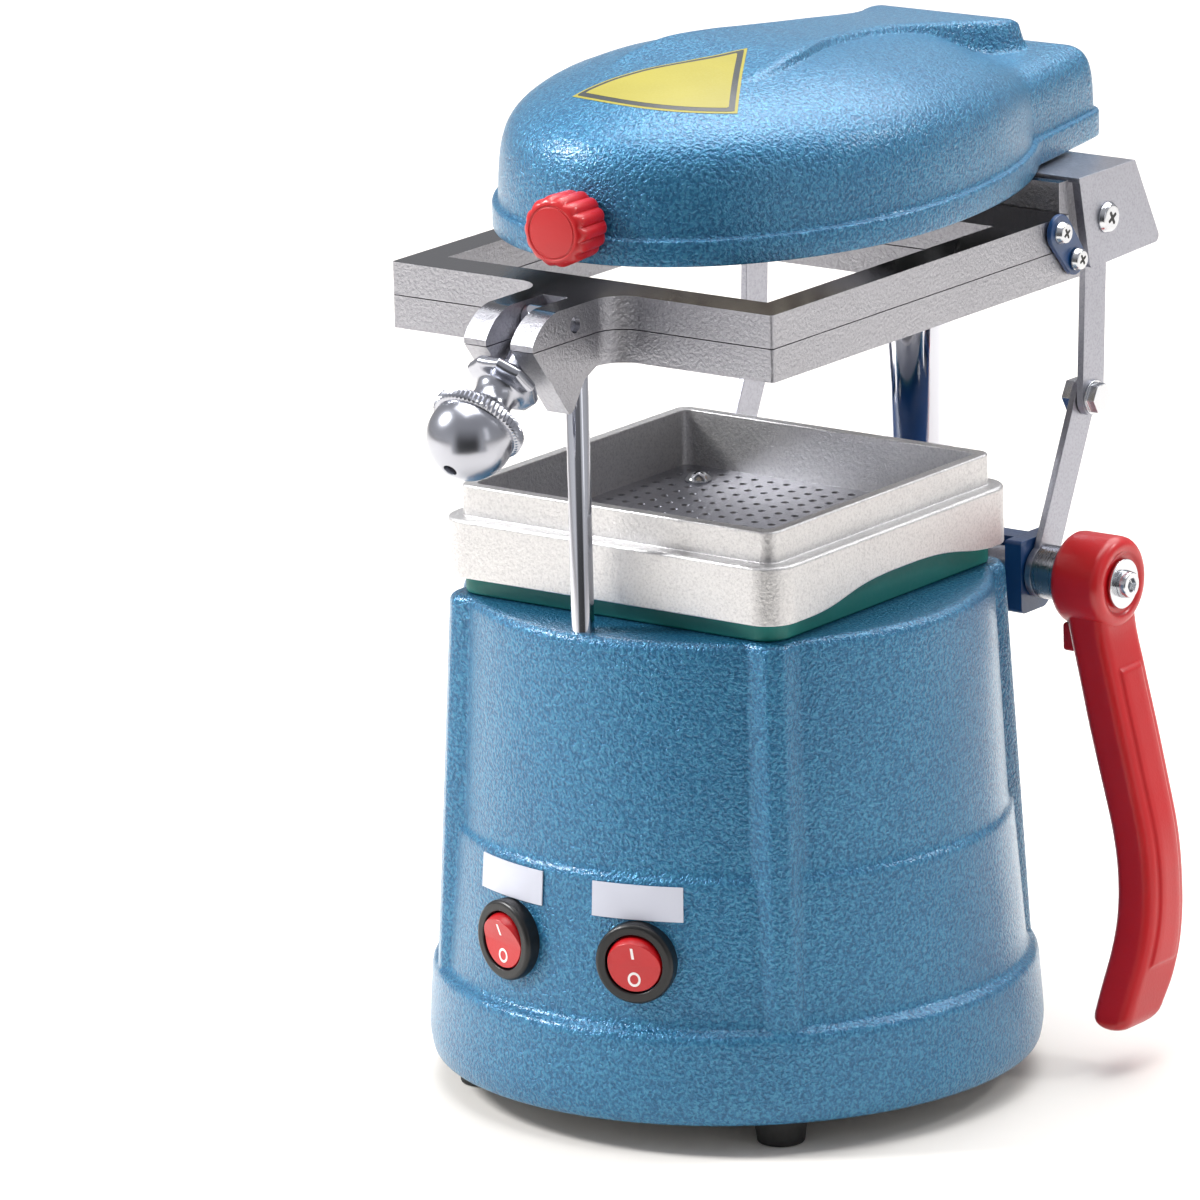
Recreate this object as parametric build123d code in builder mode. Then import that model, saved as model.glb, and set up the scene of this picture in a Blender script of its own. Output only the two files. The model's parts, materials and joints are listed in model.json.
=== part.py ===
from build123d import *
import math
import os

os.makedirs("parts", exist_ok=True)

# ---------------------------------------------------------------------------
# Driving dimensions (mm). The body axis stands at (CX, CY) in the row frame,
# so that the origin is the bottom centre of the whole machine.
# X is the machine's width, the front faces -Y, Z is up.
# ---------------------------------------------------------------------------
CX, CY = -7.4566, -5.2697

# round housing
foot_height = 9.4
body_top_z = 155.5
body_r_top = 80.8
panel_r_upper = 84.3
panel_r_lower_top = 86.0
panel_r_lower_bottom = 89.3
flange_r = 94.4
ledge_z = 84.0
flange_z = 38.5
body_wall = 3.0

# vacuum platform
band_half = 63.3
rim_half = 58.4
gasket_half = 59.2
band_bottom_z = 161.5
band_top_z = 179.6
rim_top_z = 189.3
tray_half = 54.6
plate_top_z = 171.7
plate_t = 1.5
plenum_floor_z = 168.2
duct_r = 17.0
hole_pitch = 6.1
hole_d = 2.6
plate_screw_at = 38.7

# sheet frames
frame_half_x = 70.0
frame_front_y = -72.3
frame_open_half = 58.9
lower_frame_z0 = 239.3
lower_frame_z1 = 249.3
upper_frame_z0 = 249.6
upper_frame_z1 = 259.6
lower_frame_rear_y = 90.0
upper_frame_rear_y = 84.5
fork_half = 12.6
slot_half = 4.5
slot_root_y = -84.0
frame_hinge = (84.4, 246.0)
frame_hinge_upper = (76.6, 255.6)

# clamp bolt and knob
clamp_pin_at = (-91.5, 253.9)
clamp_tilt = 52.0
clamp_pin_r = 2.5
bolt_r = 3.2

# guides
rod_y = -74.5
rod_r = 3.5
column_y = 103.0
column_r = 10.25
column_top_z = 291.0

# lever train
shaft_at = (80.0, 147.3)
shaft_r = 6.0
arm_pin_at = (104.0, 197.7)
link_top_at = (107.0, 254.2)
arm_x = (60.0, 62.2)
link_x = (62.5, 64.7)
strap_r = 5.8
link_pin_r = 3.0

# hood
hood_swing = 2.4
hood_bottom_z = 270.2
hood_rim_top_z = 278.2
hood_half_width = 70.5
hood_centre = -91.0
hood_front = 94.8
hood_rear = 118.0
hood_wall = 3.0
neck_top_z = 302.5

run = 0.05


# ---------------------------------------------------------------------------
# Sketch planes
# ---------------------------------------------------------------------------
def level(z, x=0.0, y=0.0):
    return Plane(origin=(CX + x, CY + y, z))


def facing_front(y=0.0):
    return Plane(origin=(CX, CY + y, 0), x_dir=(1, 0, 0), z_dir=(0, -1, 0))


def facing_side(x=0.0):
    return Plane(origin=(CX + x, CY, 0), x_dir=(0, 1, 0), z_dir=(1, 0, 0))


def outward(theta, z, r=0.0):
    c, s = math.cos(math.radians(theta)), math.sin(math.radians(theta))
    return Plane(origin=(CX + r * c, CY + r * s, z), x_dir=(-s, c, 0), z_dir=(c, s, 0))


def half_plane(theta):
    c, s = math.cos(math.radians(theta)), math.sin(math.radians(theta))
    return Plane(origin=(CX, CY, 0), x_dir=(c, s, 0), z_dir=(s, -c, 0))


def hood_level(z):
    a = math.radians(hood_swing)
    return Plane(origin=(CX, CY + column_y, z), x_dir=(math.cos(a), math.sin(a), 0), z_dir=(0, 0, 1))


def hood_front_plane(y):
    a = math.radians(hood_swing)
    return Plane(origin=(CX - y * math.sin(a), CY + column_y + y * math.cos(a), 0),
                 x_dir=(math.cos(a), math.sin(a), 0), z_dir=(math.sin(a), -math.cos(a), 0))


BODY_AXIS = Axis((CX, CY, 0), (0, 0, 1))
HOOD_AXIS = Axis((CX, CY + column_y, 0), (0, 0, 1))
tilt = math.radians(clamp_tilt)
BOLT_DIR = (0, -math.sin(tilt), -math.cos(tilt))
BOLT_ORIGIN = (CX, CY + clamp_pin_at[0], clamp_pin_at[1])
BOLT_PLANE = Plane(origin=BOLT_ORIGIN, x_dir=BOLT_DIR, z_dir=(1, 0, 0))
BOLT_AXIS = Axis(BOLT_ORIGIN, BOLT_DIR)


def panel_r(z):
    if z > ledge_z:
        t = (z - ledge_z) / (body_top_z - ledge_z)
        return panel_r_upper + (body_r_top - panel_r_upper) * t
    t = (z - flange_z) / (ledge_z - flange_z)
    return panel_r_lower_bottom + (panel_r_lower_top - panel_r_lower_bottom) * t


# ---------------------------------------------------------------------------
# Round housing
# ---------------------------------------------------------------------------
switch_thetas = (-104.35, -73.65)
switch_z = 58.5
switch_seat_r = 86.3
rear_seat_r = 86.3

with BuildPart() as body_shell:
    with BuildSketch(facing_front()):
        with BuildLine():
            FilletPolyline(
                (duct_r, body_top_z), (body_r_top, body_top_z), (panel_r_upper, ledge_z + 1.2),
                (panel_r_lower_top, ledge_z - 1.0), (panel_r_lower_bottom, flange_z + 2.0),
                (93.0, flange_z - 1.0), (flange_r, 15.0), (93.2, 9.4),
                (90.4, 9.4), (91.2, 15.0), (90.0, 34.5), (86.2, 38.0), (83.0, 81.0),
                (81.2, 85.0), (77.8, body_top_z - body_wall), (duct_r, body_top_z - body_wall),
                radius=[0, 3.0, 0.6, 0.6, 1.2, 1.2, 2.0, 0, 0, 0, 0, 0, 0, 0, 0, 0], close=True)
        make_face()
    revolve(axis=BODY_AXIS)
    # four tapered pilasters that run from the top edge to the flange
    for rib_theta in (45, 135, 225, 315):
        c, s = math.cos(math.radians(rib_theta)), math.sin(math.radians(rib_theta))
        with BuildPart(mode=Mode.PRIVATE) as rib:
            for zz, crest in ((flange_z + 0.3, 92.0), (body_top_z - 0.8, 85.2)):
                with BuildSketch(Plane(origin=(CX, CY, zz), x_dir=(c, s, 0), z_dir=(0, 0, 1))):
                    Polygon((crest - 6.6, -11.6), (crest, -2.4), (crest, 2.4), (crest - 6.6, 11.6), align=None)
            loft(ruled=True)
        add(rib.part)
    # boss for the guide-rod bush, shelf for the rear bracket, bosses for the base screws
    with BuildSketch(level(139.0)):
        with Locations((0, rod_y + 2.0)):
            Circle(7.0)
    extrude(amount=body_top_z - body_wall - 139.0)
    with BuildSketch(level(125.0)):
        with Locations((0, 69.0)):
            Rectangle(68, 17.0)
    extrude(amount=12.0)
    with BuildSketch(level(11.4)):
        with PolarLocations(84.2, 4, start_angle=45):
            Rectangle(17.0, 10)
    extrude(amount=14.0)
    # rear notch that takes the bracket
    with BuildSketch(level(137.0)):
        with Locations((0, 80.3)):
            Rectangle(84.0, 40.0)
    extrude(amount=30.0, mode=Mode.SUBTRACT)
    # guide-rod bush bore, with a plain hole through the top skin
    with BuildSketch(level(130.0)):
        with Locations((0, rod_y)):
            Circle(4.9)
    extrude(amount=152.6 - 130.0, mode=Mode.SUBTRACT)
    with BuildSketch(level(150.0)):
        with Locations((0, rod_y)):
            Circle(rod_r + 0.3)
    extrude(amount=10.0, mode=Mode.SUBTRACT)
    # base screw holes, bracket screw holes
    with BuildSketch(level(11.4)):
        with PolarLocations(79.0, 4, start_angle=45):
            Circle(1.6)
    extrude(amount=10.6, mode=Mode.SUBTRACT)
    with BuildSketch(level(128.0)):
        with Locations((-28, 67), (28, 67)):
            Circle(2.5)
    extrude(amount=9.1, mode=Mode.SUBTRACT)
    # switch openings with spot faces
    for th in switch_thetas:
        with BuildSketch(outward(th, switch_z, 70.0)):
            Circle(10.2)
        extrude(amount=40.0, mode=Mode.SUBTRACT)
        with BuildSketch(outward(th, switch_z, switch_seat_r)):
            Circle(12.5)
        extrude(amount=20.0, mode=Mode.SUBTRACT)
    # rear openings for the cable gland and the fuse holder
    for th in (76.0, 104.0):
        with BuildSketch(outward(th, 60.0, 70.0)):
            Circle(6.2)
        extrude(amount=40.0, mode=Mode.SUBTRACT)
        with BuildSketch(outward(th, 60.0, rear_seat_r)):
            Circle(9.3)
        extrude(amount=20.0, mode=Mode.SUBTRACT)
body_shell.part.label = "body_shell"

with BuildPart() as base_plate:
    with BuildSketch(level(foot_height)):
        Circle(90.2)
        with PolarLocations(79.0, 4, start_angle=45):
            Circle(1.6, mode=Mode.SUBTRACT)
        with PolarLocations(62.0, 8, start_angle=0):
            SlotOverall(22, 5, rotation=90, mode=Mode.SUBTRACT)
    extrude(amount=2.0)
base_plate.part.label = "base_plate"

with BuildPart() as rubber_feet:
    for a in (45, 135, 225, 315):
        fx, fy = 79.0 * math.cos(math.radians(a)), 79.0 * math.sin(math.radians(a))
        with BuildSketch(level(0, fx, fy)):
            Circle(7.2)
        with BuildSketch(level(foot_height, fx, fy)):
            Circle(8.4)
        loft()
        with BuildSketch(level(0, fx, fy)):
            Circle(3.9)
        extrude(amount=4.0, mode=Mode.SUBTRACT)
        with BuildSketch(level(0, fx, fy)):
            Circle(1.6)
        extrude(amount=foot_height, mode=Mode.SUBTRACT)
rubber_feet.part.label = "rubber_feet"

with BuildPart() as base_screws:
    with BuildSketch(level(1.8)):
        with PolarLocations(79.0, 4, start_angle=45):
            Circle(3.5)
    extrude(amount=2.2)
    with BuildSketch(level(4.0)):
        with PolarLocations(79.0, 4, start_angle=45):
            Circle(1.6)
    extrude(amount=16.0)
base_screws.part.label = "base_screws"


# ---------------------------------------------------------------------------
# Switches, labels and rear fittings
# ---------------------------------------------------------------------------
pivot_r = 88.6
ball_r = 8.8

with BuildPart() as switch_bezels:
    for th in switch_thetas:
        c, s = math.cos(math.radians(th)), math.sin(math.radians(th))
        with BuildPart(mode=Mode.PRIVATE) as bezel:
            with BuildSketch(half_plane(th)):
                with BuildLine():
                    FilletPolyline((72.0, switch_z), (72.0, switch_z + 10.2), (switch_seat_r, switch_z + 10.2),
                                   (switch_seat_r, switch_z + 12.4), (91.6, switch_z + 12.4),
                                   (91.6, switch_z + 9.1), (79.0, switch_z + 9.1), (79.0, switch_z),
                                   radius=[0, 0, 0, 0, 1.4, 0.4, 0, 0], close=True)
                make_face()
            revolve(axis=Axis((CX, CY, switch_z), (c, s, 0)))
        add(bezel.part)
switch_bezels.part.label = "switch_bezels"


def rocker_profile(th):
    # section across the pivot: the lower half is pressed in, the upper half stands out
    a = math.radians(10.0)
    q = [(2.6, 0.0), (2.6 + 9.0 * math.tan(a), 9.0), (-4.0, 9.0), (-4.0, -9.0), (2.6 + 9.0 * math.tan(a), -9.0)]
    r = math.radians(-10.0)
    return [(pivot_r + x * math.cos(r) - z * math.sin(r), switch_z + x * math.sin(r) + z * math.cos(r)) for x, z in q]


with BuildPart() as heater_rocker:
    with BuildSketch(half_plane(switch_thetas[0])):
        Polygon(*rocker_profile(0), align=None)
    extrude(amount=9.0, both=True)
    with Locations(outward(switch_thetas[0], switch_z, pivot_r)):
        Sphere(ball_r, mode=Mode.INTERSECT)
heater_rocker.part.label = "heater_rocker"

with BuildPart() as vacuum_rocker:
    with BuildSketch(half_plane(switch_thetas[1])):
        Polygon(*rocker_profile(1), align=None)
    extrude(amount=9.0, both=True)
    with Locations(outward(switch_thetas[1], switch_z, pivot_r)):
        Sphere(ball_r, mode=Mode.INTERSECT)
vacuum_rocker.part.label = "vacuum_rocker"

with BuildPart() as label_plates:
    for start in (-114.9, -83.5):
        z0, z1 = 71.2, 81.8
        with BuildSketch(half_plane(start)):
            Polygon((panel_r(z0), z0), (panel_r(z0) + 0.5, z0), (panel_r(z1) + 0.5, z1), (panel_r(z1), z1), align=None)
        revolve(axis=BODY_AXIS, revolution_arc=19.2)
label_plates.part.label = "label_plates"

with BuildPart() as cable_gland:
    with BuildSketch(outward(76.0, 60.0, 78.0)):
        Circle(6.2)
    extrude(amount=rear_seat_r - 78.0)
    with BuildSketch(outward(76.0, 60.0, rear_seat_r)):
        RegularPolygon(9.0, 6)
    extrude(amount=4.6)
    with BuildSketch(outward(76.0, 60.0, rear_seat_r + 4.6)):
        Circle(7.4)
    extrude(amount=6.0, taper=10)
    with BuildSketch(outward(76.0, 60.0, 77.0)):
        Circle(3.6)
    extrude(amount=30.0, mode=Mode.SUBTRACT)
cable_gland.part.label = "cable_gland"

with BuildPart() as fuse_holder:
    with BuildSketch(outward(104.0, 60.0, 64.0)):
        Circle(6.2)
    extrude(amount=rear_seat_r - 64.0)
    with BuildSketch(outward(104.0, 60.0, rear_seat_r)):
        Circle(8.6)
    extrude(amount=3.0)
    with BuildSketch(outward(104.0, 60.0, rear_seat_r + 3.0)):
        Circle(6.6)
    extrude(amount=6.0, taper=4)
    with BuildSketch(outward(104.0, 60.0, rear_seat_r + 7.8)):
        Rectangle(9.0, 1.4)
    extrude(amount=3.0, mode=Mode.SUBTRACT)
fuse_holder.part.label = "fuse_holder"

with BuildPart() as terminal_block:
    with BuildSketch(level(foot_height + 2.0, -62.0, 18.0)):
        Rectangle(12, 36)
    extrude(amount=10.0)
    with BuildSketch(level(foot_height + 12.0, -62.0, 18.0)):
        Rectangle(6, 36)
    extrude(amount=5.0)
terminal_block.part.label = "terminal_block"


# ---------------------------------------------------------------------------
# Vacuum unit inside the housing
# ---------------------------------------------------------------------------
with BuildPart() as motor_mount:
    with BuildSketch(level(foot_height + 2.0)):
        Circle(49.0)
        Circle(30.0, mode=Mode.SUBTRACT)
    extrude(amount=12.6)
motor_mount.part.label = "motor_mount"

with BuildPart() as vacuum_motor:
    with BuildSketch(facing_front()):
        with BuildLine():
            Polyline((0, 24.0), (45.0, 24.0), (45.0, 84.0), (4.0 + run, 84.0), (4.0 + run, 78.0),
                     (41.0, 78.0), (41.0, 30.0), (0, 30.0), (0, 24.0))
        make_face()
    revolve(axis=BODY_AXIS)
vacuum_motor.part.label = "vacuum_motor"

with BuildPart() as blower_housing:
    with BuildSketch(facing_front()):
        with BuildLine():
            Polyline((6.0, 84.0), (58.0, 84.0), (58.0, 112.0), (15.0, 112.0), (15.0, 109.0),
                     (55.0, 109.0), (55.0, 87.0), (6.0, 87.0), (6.0, 84.0))
        make_face()
    revolve(axis=BODY_AXIS)
    with BuildSketch(outward(180.0, 98.0, 50.0)):
        Rectangle(26, 12)
    extrude(amount=20.0, mode=Mode.SUBTRACT)
blower_housing.part.label = "blower_housing"

with BuildPart() as impeller:
    with BuildSketch(level(34.0)):
        Circle(4.0)
    extrude(amount=72.0)
    with BuildSketch(level(90.0)):
        Circle(50.0)
    extrude(amount=2.0)
    with BuildSketch(level(92.0)):
        with PolarLocations(31.0, 9):
            Rectangle(34, 1.6, rotation=28)
        Circle(13.0)
    extrude(amount=12.0)
    with BuildSketch(level(36.0)):
        Circle(26.0)
    extrude(amount=34.0)
impeller.part.label = "impeller"

with BuildPart() as suction_duct:
    with BuildSketch(level(112.0)):
        Circle(duct_r)
        Circle(duct_r - 2.0, mode=Mode.SUBTRACT)
    extrude(amount=plenum_floor_z - 112.0)
suction_duct.part.label = "suction_duct"


# ---------------------------------------------------------------------------
# Gasket, platform and perforated plate
# ---------------------------------------------------------------------------
arch_points = [(-45.0, band_bottom_z), (-34.0, 162.4), (-21.0, 164.9), (4.0, 166.3), (28.0, 164.9), (40.0, 162.7), (50.0, band_bottom_z)]

with BuildPart() as platform_gasket:
    with BuildSketch(level(body_top_z)):
        RectangleRounded(2 * gasket_half, 2 * gasket_half, 8.0)
        Circle(duct_r, mode=Mode.SUBTRACT)
    extrude(amount=band_bottom_z - body_top_z)
    with BuildSketch(facing_side(-gasket_half)):
        with BuildLine():
            Spline(*arch_points, tangents=((1, 0.02), (1, -0.1)))
            Line(arch_points[-1], arch_points[0])
        make_face()
    extrude(amount=2 * gasket_half)
    with BuildSketch(level(body_top_z)):
        Circle(duct_r)
    extrude(amount=30, mode=Mode.SUBTRACT)
platform_gasket.part.label = "platform_gasket"

with BuildPart() as vacuum_platform:
    with BuildSketch(level(band_bottom_z)):
        RectangleRounded(2 * band_half, 2 * band_half, 10.0)
    extrude(amount=band_top_z - band_bottom_z)
    fillet(vacuum_platform.edges().group_by(Axis.Z)[-1], 1.2)
    with BuildSketch(level(band_top_z - 3.0)):
        RectangleRounded(2 * rim_half, 2 * rim_half, 4.5)
    extrude(amount=rim_top_z - band_top_z + 3.0)
    fillet(vacuum_platform.edges().group_by(Axis.Z)[-1], 0.8)
    with BuildSketch(level(plate_top_z - plate_t)):
        RectangleRounded(2 * tray_half, 2 * tray_half, 3.0)
    extrude(amount=40.0, mode=Mode.SUBTRACT)
    with BuildSketch(level(plenum_floor_z)):
        Rectangle(99, 99)
        with GridLocations(2 * plate_screw_at, 2 * plate_screw_at, 2, 2):
            Circle(5.0, mode=Mode.SUBTRACT)
    extrude(amount=plate_top_z - plate_t - plenum_floor_z, mode=Mode.SUBTRACT)
    with BuildSketch(facing_side(-70.0)):
        with BuildLine():
            Spline(*arch_points, tangents=((1, 0.02), (1, -0.1)))
            Line(arch_points[-1], arch_points[0])
        make_face()
    extrude(amount=140.0, mode=Mode.SUBTRACT)
    with BuildSketch(level(band_bottom_z)):
        Circle(duct_r)
    extrude(amount=12.0, mode=Mode.SUBTRACT)
    with BuildSketch(level(plenum_floor_z - 1.0)):
        with GridLocations(2 * plate_screw_at, 2 * plate_screw_at, 2, 2):
            Circle(1.6)
    extrude(amount=8.0, mode=Mode.SUBTRACT)
vacuum_platform.part.label = "vacuum_platform"

hole_spots = []
for i in range(-8, 9):
    for j in range(-8, 9):
        px, py = i * hole_pitch, j * hole_pitch
        if math.hypot(abs(px) - plate_screw_at, abs(py) - plate_screw_at) > 6.0:
            hole_spots.append((px, py))

with BuildPart() as perforated_plate:
    with BuildSketch(level(plate_top_z - plate_t)):
        RectangleRounded(2 * tray_half, 2 * tray_half, 3.0)
        with Locations(*hole_spots):
            Circle(hole_d / 2, mode=Mode.SUBTRACT)
        with GridLocations(2 * plate_screw_at, 2 * plate_screw_at, 2, 2):
            Circle(1.6, mode=Mode.SUBTRACT)
    extrude(amount=plate_t)
perforated_plate.part.label = "perforated_plate"

with BuildPart() as plate_screws:
    for sx in (-plate_screw_at, plate_screw_at):
        for sy in (-plate_screw_at, plate_screw_at):
            with BuildSketch(level(plenum_floor_z - 1.0, sx, sy)):
                Circle(1.6)
            extrude(amount=plate_top_z - plenum_floor_z + 1.0)
            with BuildSketch(Plane(origin=(CX + sx, CY + sy, plate_top_z), x_dir=(1, 0, 0), z_dir=(0, -1, 0))):
                with BuildLine():
                    Line((0, 0), (4.2, 0))
                    Line((4.2, 0), (4.2, 0.6))
                    ThreePointArc((4.2, 0.6), (2.6, 2.3), (0, 3.0))
                    Line((0, 3.0), (0, 0))
                make_face()
            revolve(axis=Axis((CX + sx, CY + sy, 0), (0, 0, 1)))
            with BuildSketch(level(plate_top_z + 1.4, sx, sy)):
                Rectangle(4.2, 0.9)
                Rectangle(0.9, 4.2)
            extrude(amount=3.0, mode=Mode.SUBTRACT)
plate_screws.part.label = "plate_screws"


# ---------------------------------------------------------------------------
# Rear bracket, column and rod bush
# ---------------------------------------------------------------------------
sy0, sz0 = shaft_at

with BuildPart() as rear_bracket:
    with BuildSketch(level(137.0)):
        with Locations((0, 76.3)):
            Rectangle(83.4, 31.4)
    extrude(amount=body_top_z - 137.0)
    with BuildSketch(level(137.3)):
        with Locations((0, 88.0)):
            Rectangle(119.0, 8.0)
    extrude(amount=body_top_z - 137.3)
    # lugs that carry the cross shaft
    for lug_x in (-59.5, 53.5):
        with BuildSketch(facing_side(lug_x)):
            with BuildLine():
                FilletPolyline((71.0, 158.0), (92.0, 158.0), (92.0, 140.5), (84.0, 135.0), (71.0, 135.0),
                               radius=[1.5, 1.5, 4.0, 4.0, 2.0], close=True)
            make_face()
        extrude(amount=6.0)
    # socket of the column
    with BuildSketch(level(112.0)):
        with Locations((0, column_y)):
            Circle(16.0)
    extrude(amount=body_top_z - 112.0)
    with BuildSketch(level(124.0)):
        with Locations((0, 96.0)):
            Rectangle(32.0, 8.5)
    extrude(amount=body_top_z - 124.0)
    with BuildSketch(level(100.0)):
        with Locations((0, column_y)):
            Circle(column_r)
    extrude(amount=70.0, mode=Mode.SUBTRACT)
    with BuildSketch(Plane(origin=(CX - 70.0, CY + sy0, sz0), x_dir=(0, 1, 0), z_dir=(1, 0, 0))):
        Circle(shaft_r + run)
    extrude(amount=140.0, mode=Mode.SUBTRACT)
    with BuildSketch(level(130.0)):
        with Locations((-28, 67), (28, 67)):
            Circle(2.5)
    extrude(amount=40.0, mode=Mode.SUBTRACT)
rear_bracket.part.label = "rear_bracket"

with BuildPart() as bracket_screws:
    with BuildSketch(level(128.0)):
        with Locations((-28, 67), (28, 67)):
            Circle(2.5)
    extrude(amount=body_top_z - 128.0)
    with BuildSketch(level(body_top_z)):
        with Locations((-28, 67), (28, 67)):
            Circle(4.4)
    extrude(amount=2.6, taper=12)
    with BuildSketch(level(body_top_z + 1.0)):
        with Locations((-28, 67), (28, 67)):
            RegularPolygon(1.8, 6)
    extrude(amount=4.0, mode=Mode.SUBTRACT)
bracket_screws.part.label = "bracket_screws"

with BuildPart() as rear_column:
    with BuildSketch(level(112.0)):
        with Locations((0, column_y)):
            Circle(column_r)
    extrude(amount=column_top_z - 112.0)
    chamfer(rear_column.edges().group_by(Axis.Z)[-1], 1.0)
rear_column.part.label = "rear_column"

with BuildPart() as rod_bush:
    with BuildSketch(level(137.0)):
        with Locations((0, rod_y)):
            Circle(4.9)
    extrude(amount=152.6 - 137.0)
    with BuildSketch(level(130.0)):
        with Locations((0, rod_y)):
            Circle(rod_r + run)
    extrude(amount=40.0, mode=Mode.SUBTRACT)
rod_bush.part.label = "rod_bush"


# ---------------------------------------------------------------------------
# Carriage: lower frame, crossbeam, cover, guide rod
# ---------------------------------------------------------------------------
seat = 19.3
seat_c = (clamp_pin_at[0] - seat * math.sin(tilt), clamp_pin_at[1] - seat * math.cos(tilt))


def seat_point(s):
    return (seat_c[0] - s * math.cos(tilt), seat_c[1] + s * math.sin(tilt))


with BuildPart() as lower_frame:
    with BuildSketch(level(lower_frame_z0)):
        with BuildLine():
            FilletPolyline((-frame_half_x, frame_front_y), (-fork_half, frame_front_y), (-fork_half, -116.0),
                           (fork_half, -116.0), (fork_half, frame_front_y), (frame_half_x, frame_front_y),
                           (frame_half_x, lower_frame_rear_y), (-frame_half_x, lower_frame_rear_y),
                           radius=[1.0, 9.0, 0, 0, 9.0, 1.0, 1.0, 1.0], close=True)
        make_face()
        Rectangle(2 * frame_open_half, 2 * frame_open_half, mode=Mode.SUBTRACT)
    extrude(amount=lower_frame_z1 - lower_frame_z0)
    with BuildSketch(facing_side(-fork_half)):
        with BuildLine():
            FilletPolyline((-80.0, 245.0), (-108.0, 245.0), seat_point(-9.0), (-99.6, 228.6),
                           (-94.0, 227.2), (-87.6, 236.5), (-80.0, 240.0),
                           radius=[0, 0, 0, 2.0, 3.0, 3.0, 0], close=True)
        make_face()
    extrude(amount=2 * fork_half)
    with BuildSketch(facing_side(-20.0)):
        Polygon(seat_point(-30.0), seat_point(20.0), (-140.0, 262.0), (-140.0, 215.0), align=None)
    extrude(amount=40.0, mode=Mode.SUBTRACT)
    with BuildSketch(level(220.0)):
        with Locations((0, slot_root_y - 25.0)):
            Rectangle(2 * slot_half, 50.0)
    extrude(amount=40.0, mode=Mode.SUBTRACT)
    with BuildSketch(level(220.0)):
        with Locations((0, rod_y)):
            Circle(rod_r)
    extrude(amount=60.0, mode=Mode.SUBTRACT)
    for sx in (-72.0, 62.0):
        with BuildSketch(Plane(origin=(CX + sx, CY + frame_hinge[0], frame_hinge[1]), x_dir=(0, 1, 0), z_dir=(1, 0, 0))):
            Circle(2.2)
        extrude(amount=10.0, mode=Mode.SUBTRACT)
lower_frame.part.label = "lower_frame"

with BuildPart() as front_rod:
    with BuildSketch(level(95.0)):
        with Locations((0, rod_y)):
            Circle(rod_r)
    extrude(amount=lower_frame_z1 - 95.0)
    chamfer(front_rod.edges().group_by(Axis.Z)[0], 0.8)
front_rod.part.label = "front_rod"

with BuildPart() as crossbeam:
    with BuildSketch(level(lower_frame_z1)):
        with Locations((0, 88.5)):
            Rectangle(130.0, 5.0)
    extrude(amount=268.4 - lower_frame_z1)
    with BuildSketch(level(lower_frame_z0)):
        with Locations((0, 105.5)):
            RectangleRounded(116.0, 31.0, 2.0)
    extrude(amount=267.5 - lower_frame_z0)
    with BuildSketch(level(230.0)):
        with Locations((0, column_y)):
            Circle(13.0)
    extrude(amount=50.0, mode=Mode.SUBTRACT)
crossbeam.part.label = "crossbeam"

with BuildPart() as column_bush:
    with BuildSketch(level(lower_frame_z0 - 4.0)):
        with Locations((0, column_y)):
            Circle(13.0)
            Circle(column_r + run, mode=Mode.SUBTRACT)
    extrude(amount=267.5 - lower_frame_z0 + 4.0)
    with BuildSketch(level(lower_frame_z0 - 4.0)):
        with Locations((0, column_y)):
            Circle(15.5)
            Circle(column_r + run, mode=Mode.SUBTRACT)
    extrude(amount=4.0)
column_bush.part.label = "column_bush"

cover_outline = [(92.0, 269.2), (123.0, 269.2), (137.0, 241.2), (97.5, 239.8)]
with BuildPart() as rear_cover:
    for cx0 in (-68.5, 65.5):
        with BuildSketch(facing_side(cx0)):
            with BuildLine():
                FilletPolyline(*cover_outline, radius=[0, 0, 2.0, 2.0], close=True)
            make_face()
        extrude(amount=3.0)
        with BuildSketch(Plane(origin=(CX + cx0, CY + link_top_at[0], link_top_at[1]), x_dir=(0, 1, 0), z_dir=(1, 0, 0))):
            Circle(3.0)
        extrude(amount=3.0, mode=Mode.SUBTRACT)
    with BuildSketch(level(267.5)):
        with Locations((0, 107.5)):
            Rectangle(137.0, 31.0)
        with Locations((0, column_y)):
            Circle(13.0, mode=Mode.SUBTRACT)
    extrude(amount=1.7)
rear_cover.part.label = "rear_cover"

with BuildPart() as link_rivets:
    for sgn in (-1, 1):
        with BuildSketch(Plane(origin=(CX + sgn * 65.5, CY + link_top_at[0], link_top_at[1]), x_dir=(0, 1, 0), z_dir=(sgn, 0, 0))):
            Circle(3.0)
        extrude(amount=3.0)
        with BuildSketch(Plane(origin=(CX + sgn * 68.5, CY + link_top_at[0], link_top_at[1]), x_dir=(0, 1, 0), z_dir=(sgn, 0, 0))):
            Circle(5.2)
        extrude(amount=2.0, taper=30)
link_rivets.part.label = "link_rivets"

with BuildPart() as lower_hinge_screws:
    for sgn in (-1, 1):
        with BuildSketch(Plane(origin=(CX + sgn * 62.0, CY + frame_hinge[0], frame_hinge[1]), x_dir=(0, 1, 0), z_dir=(sgn, 0, 0))):
            Circle(2.2)
        extrude(amount=10.4)
        with BuildSketch(Plane(origin=(CX + sgn * 72.4, CY + frame_hinge[0], frame_hinge[1]), x_dir=(0, 1, 0), z_dir=(sgn, 0, 0))):
            Circle(3.7)
        extrude(amount=2.2, taper=20)
lower_hinge_screws.part.label = "lower_hinge_screws"


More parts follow.
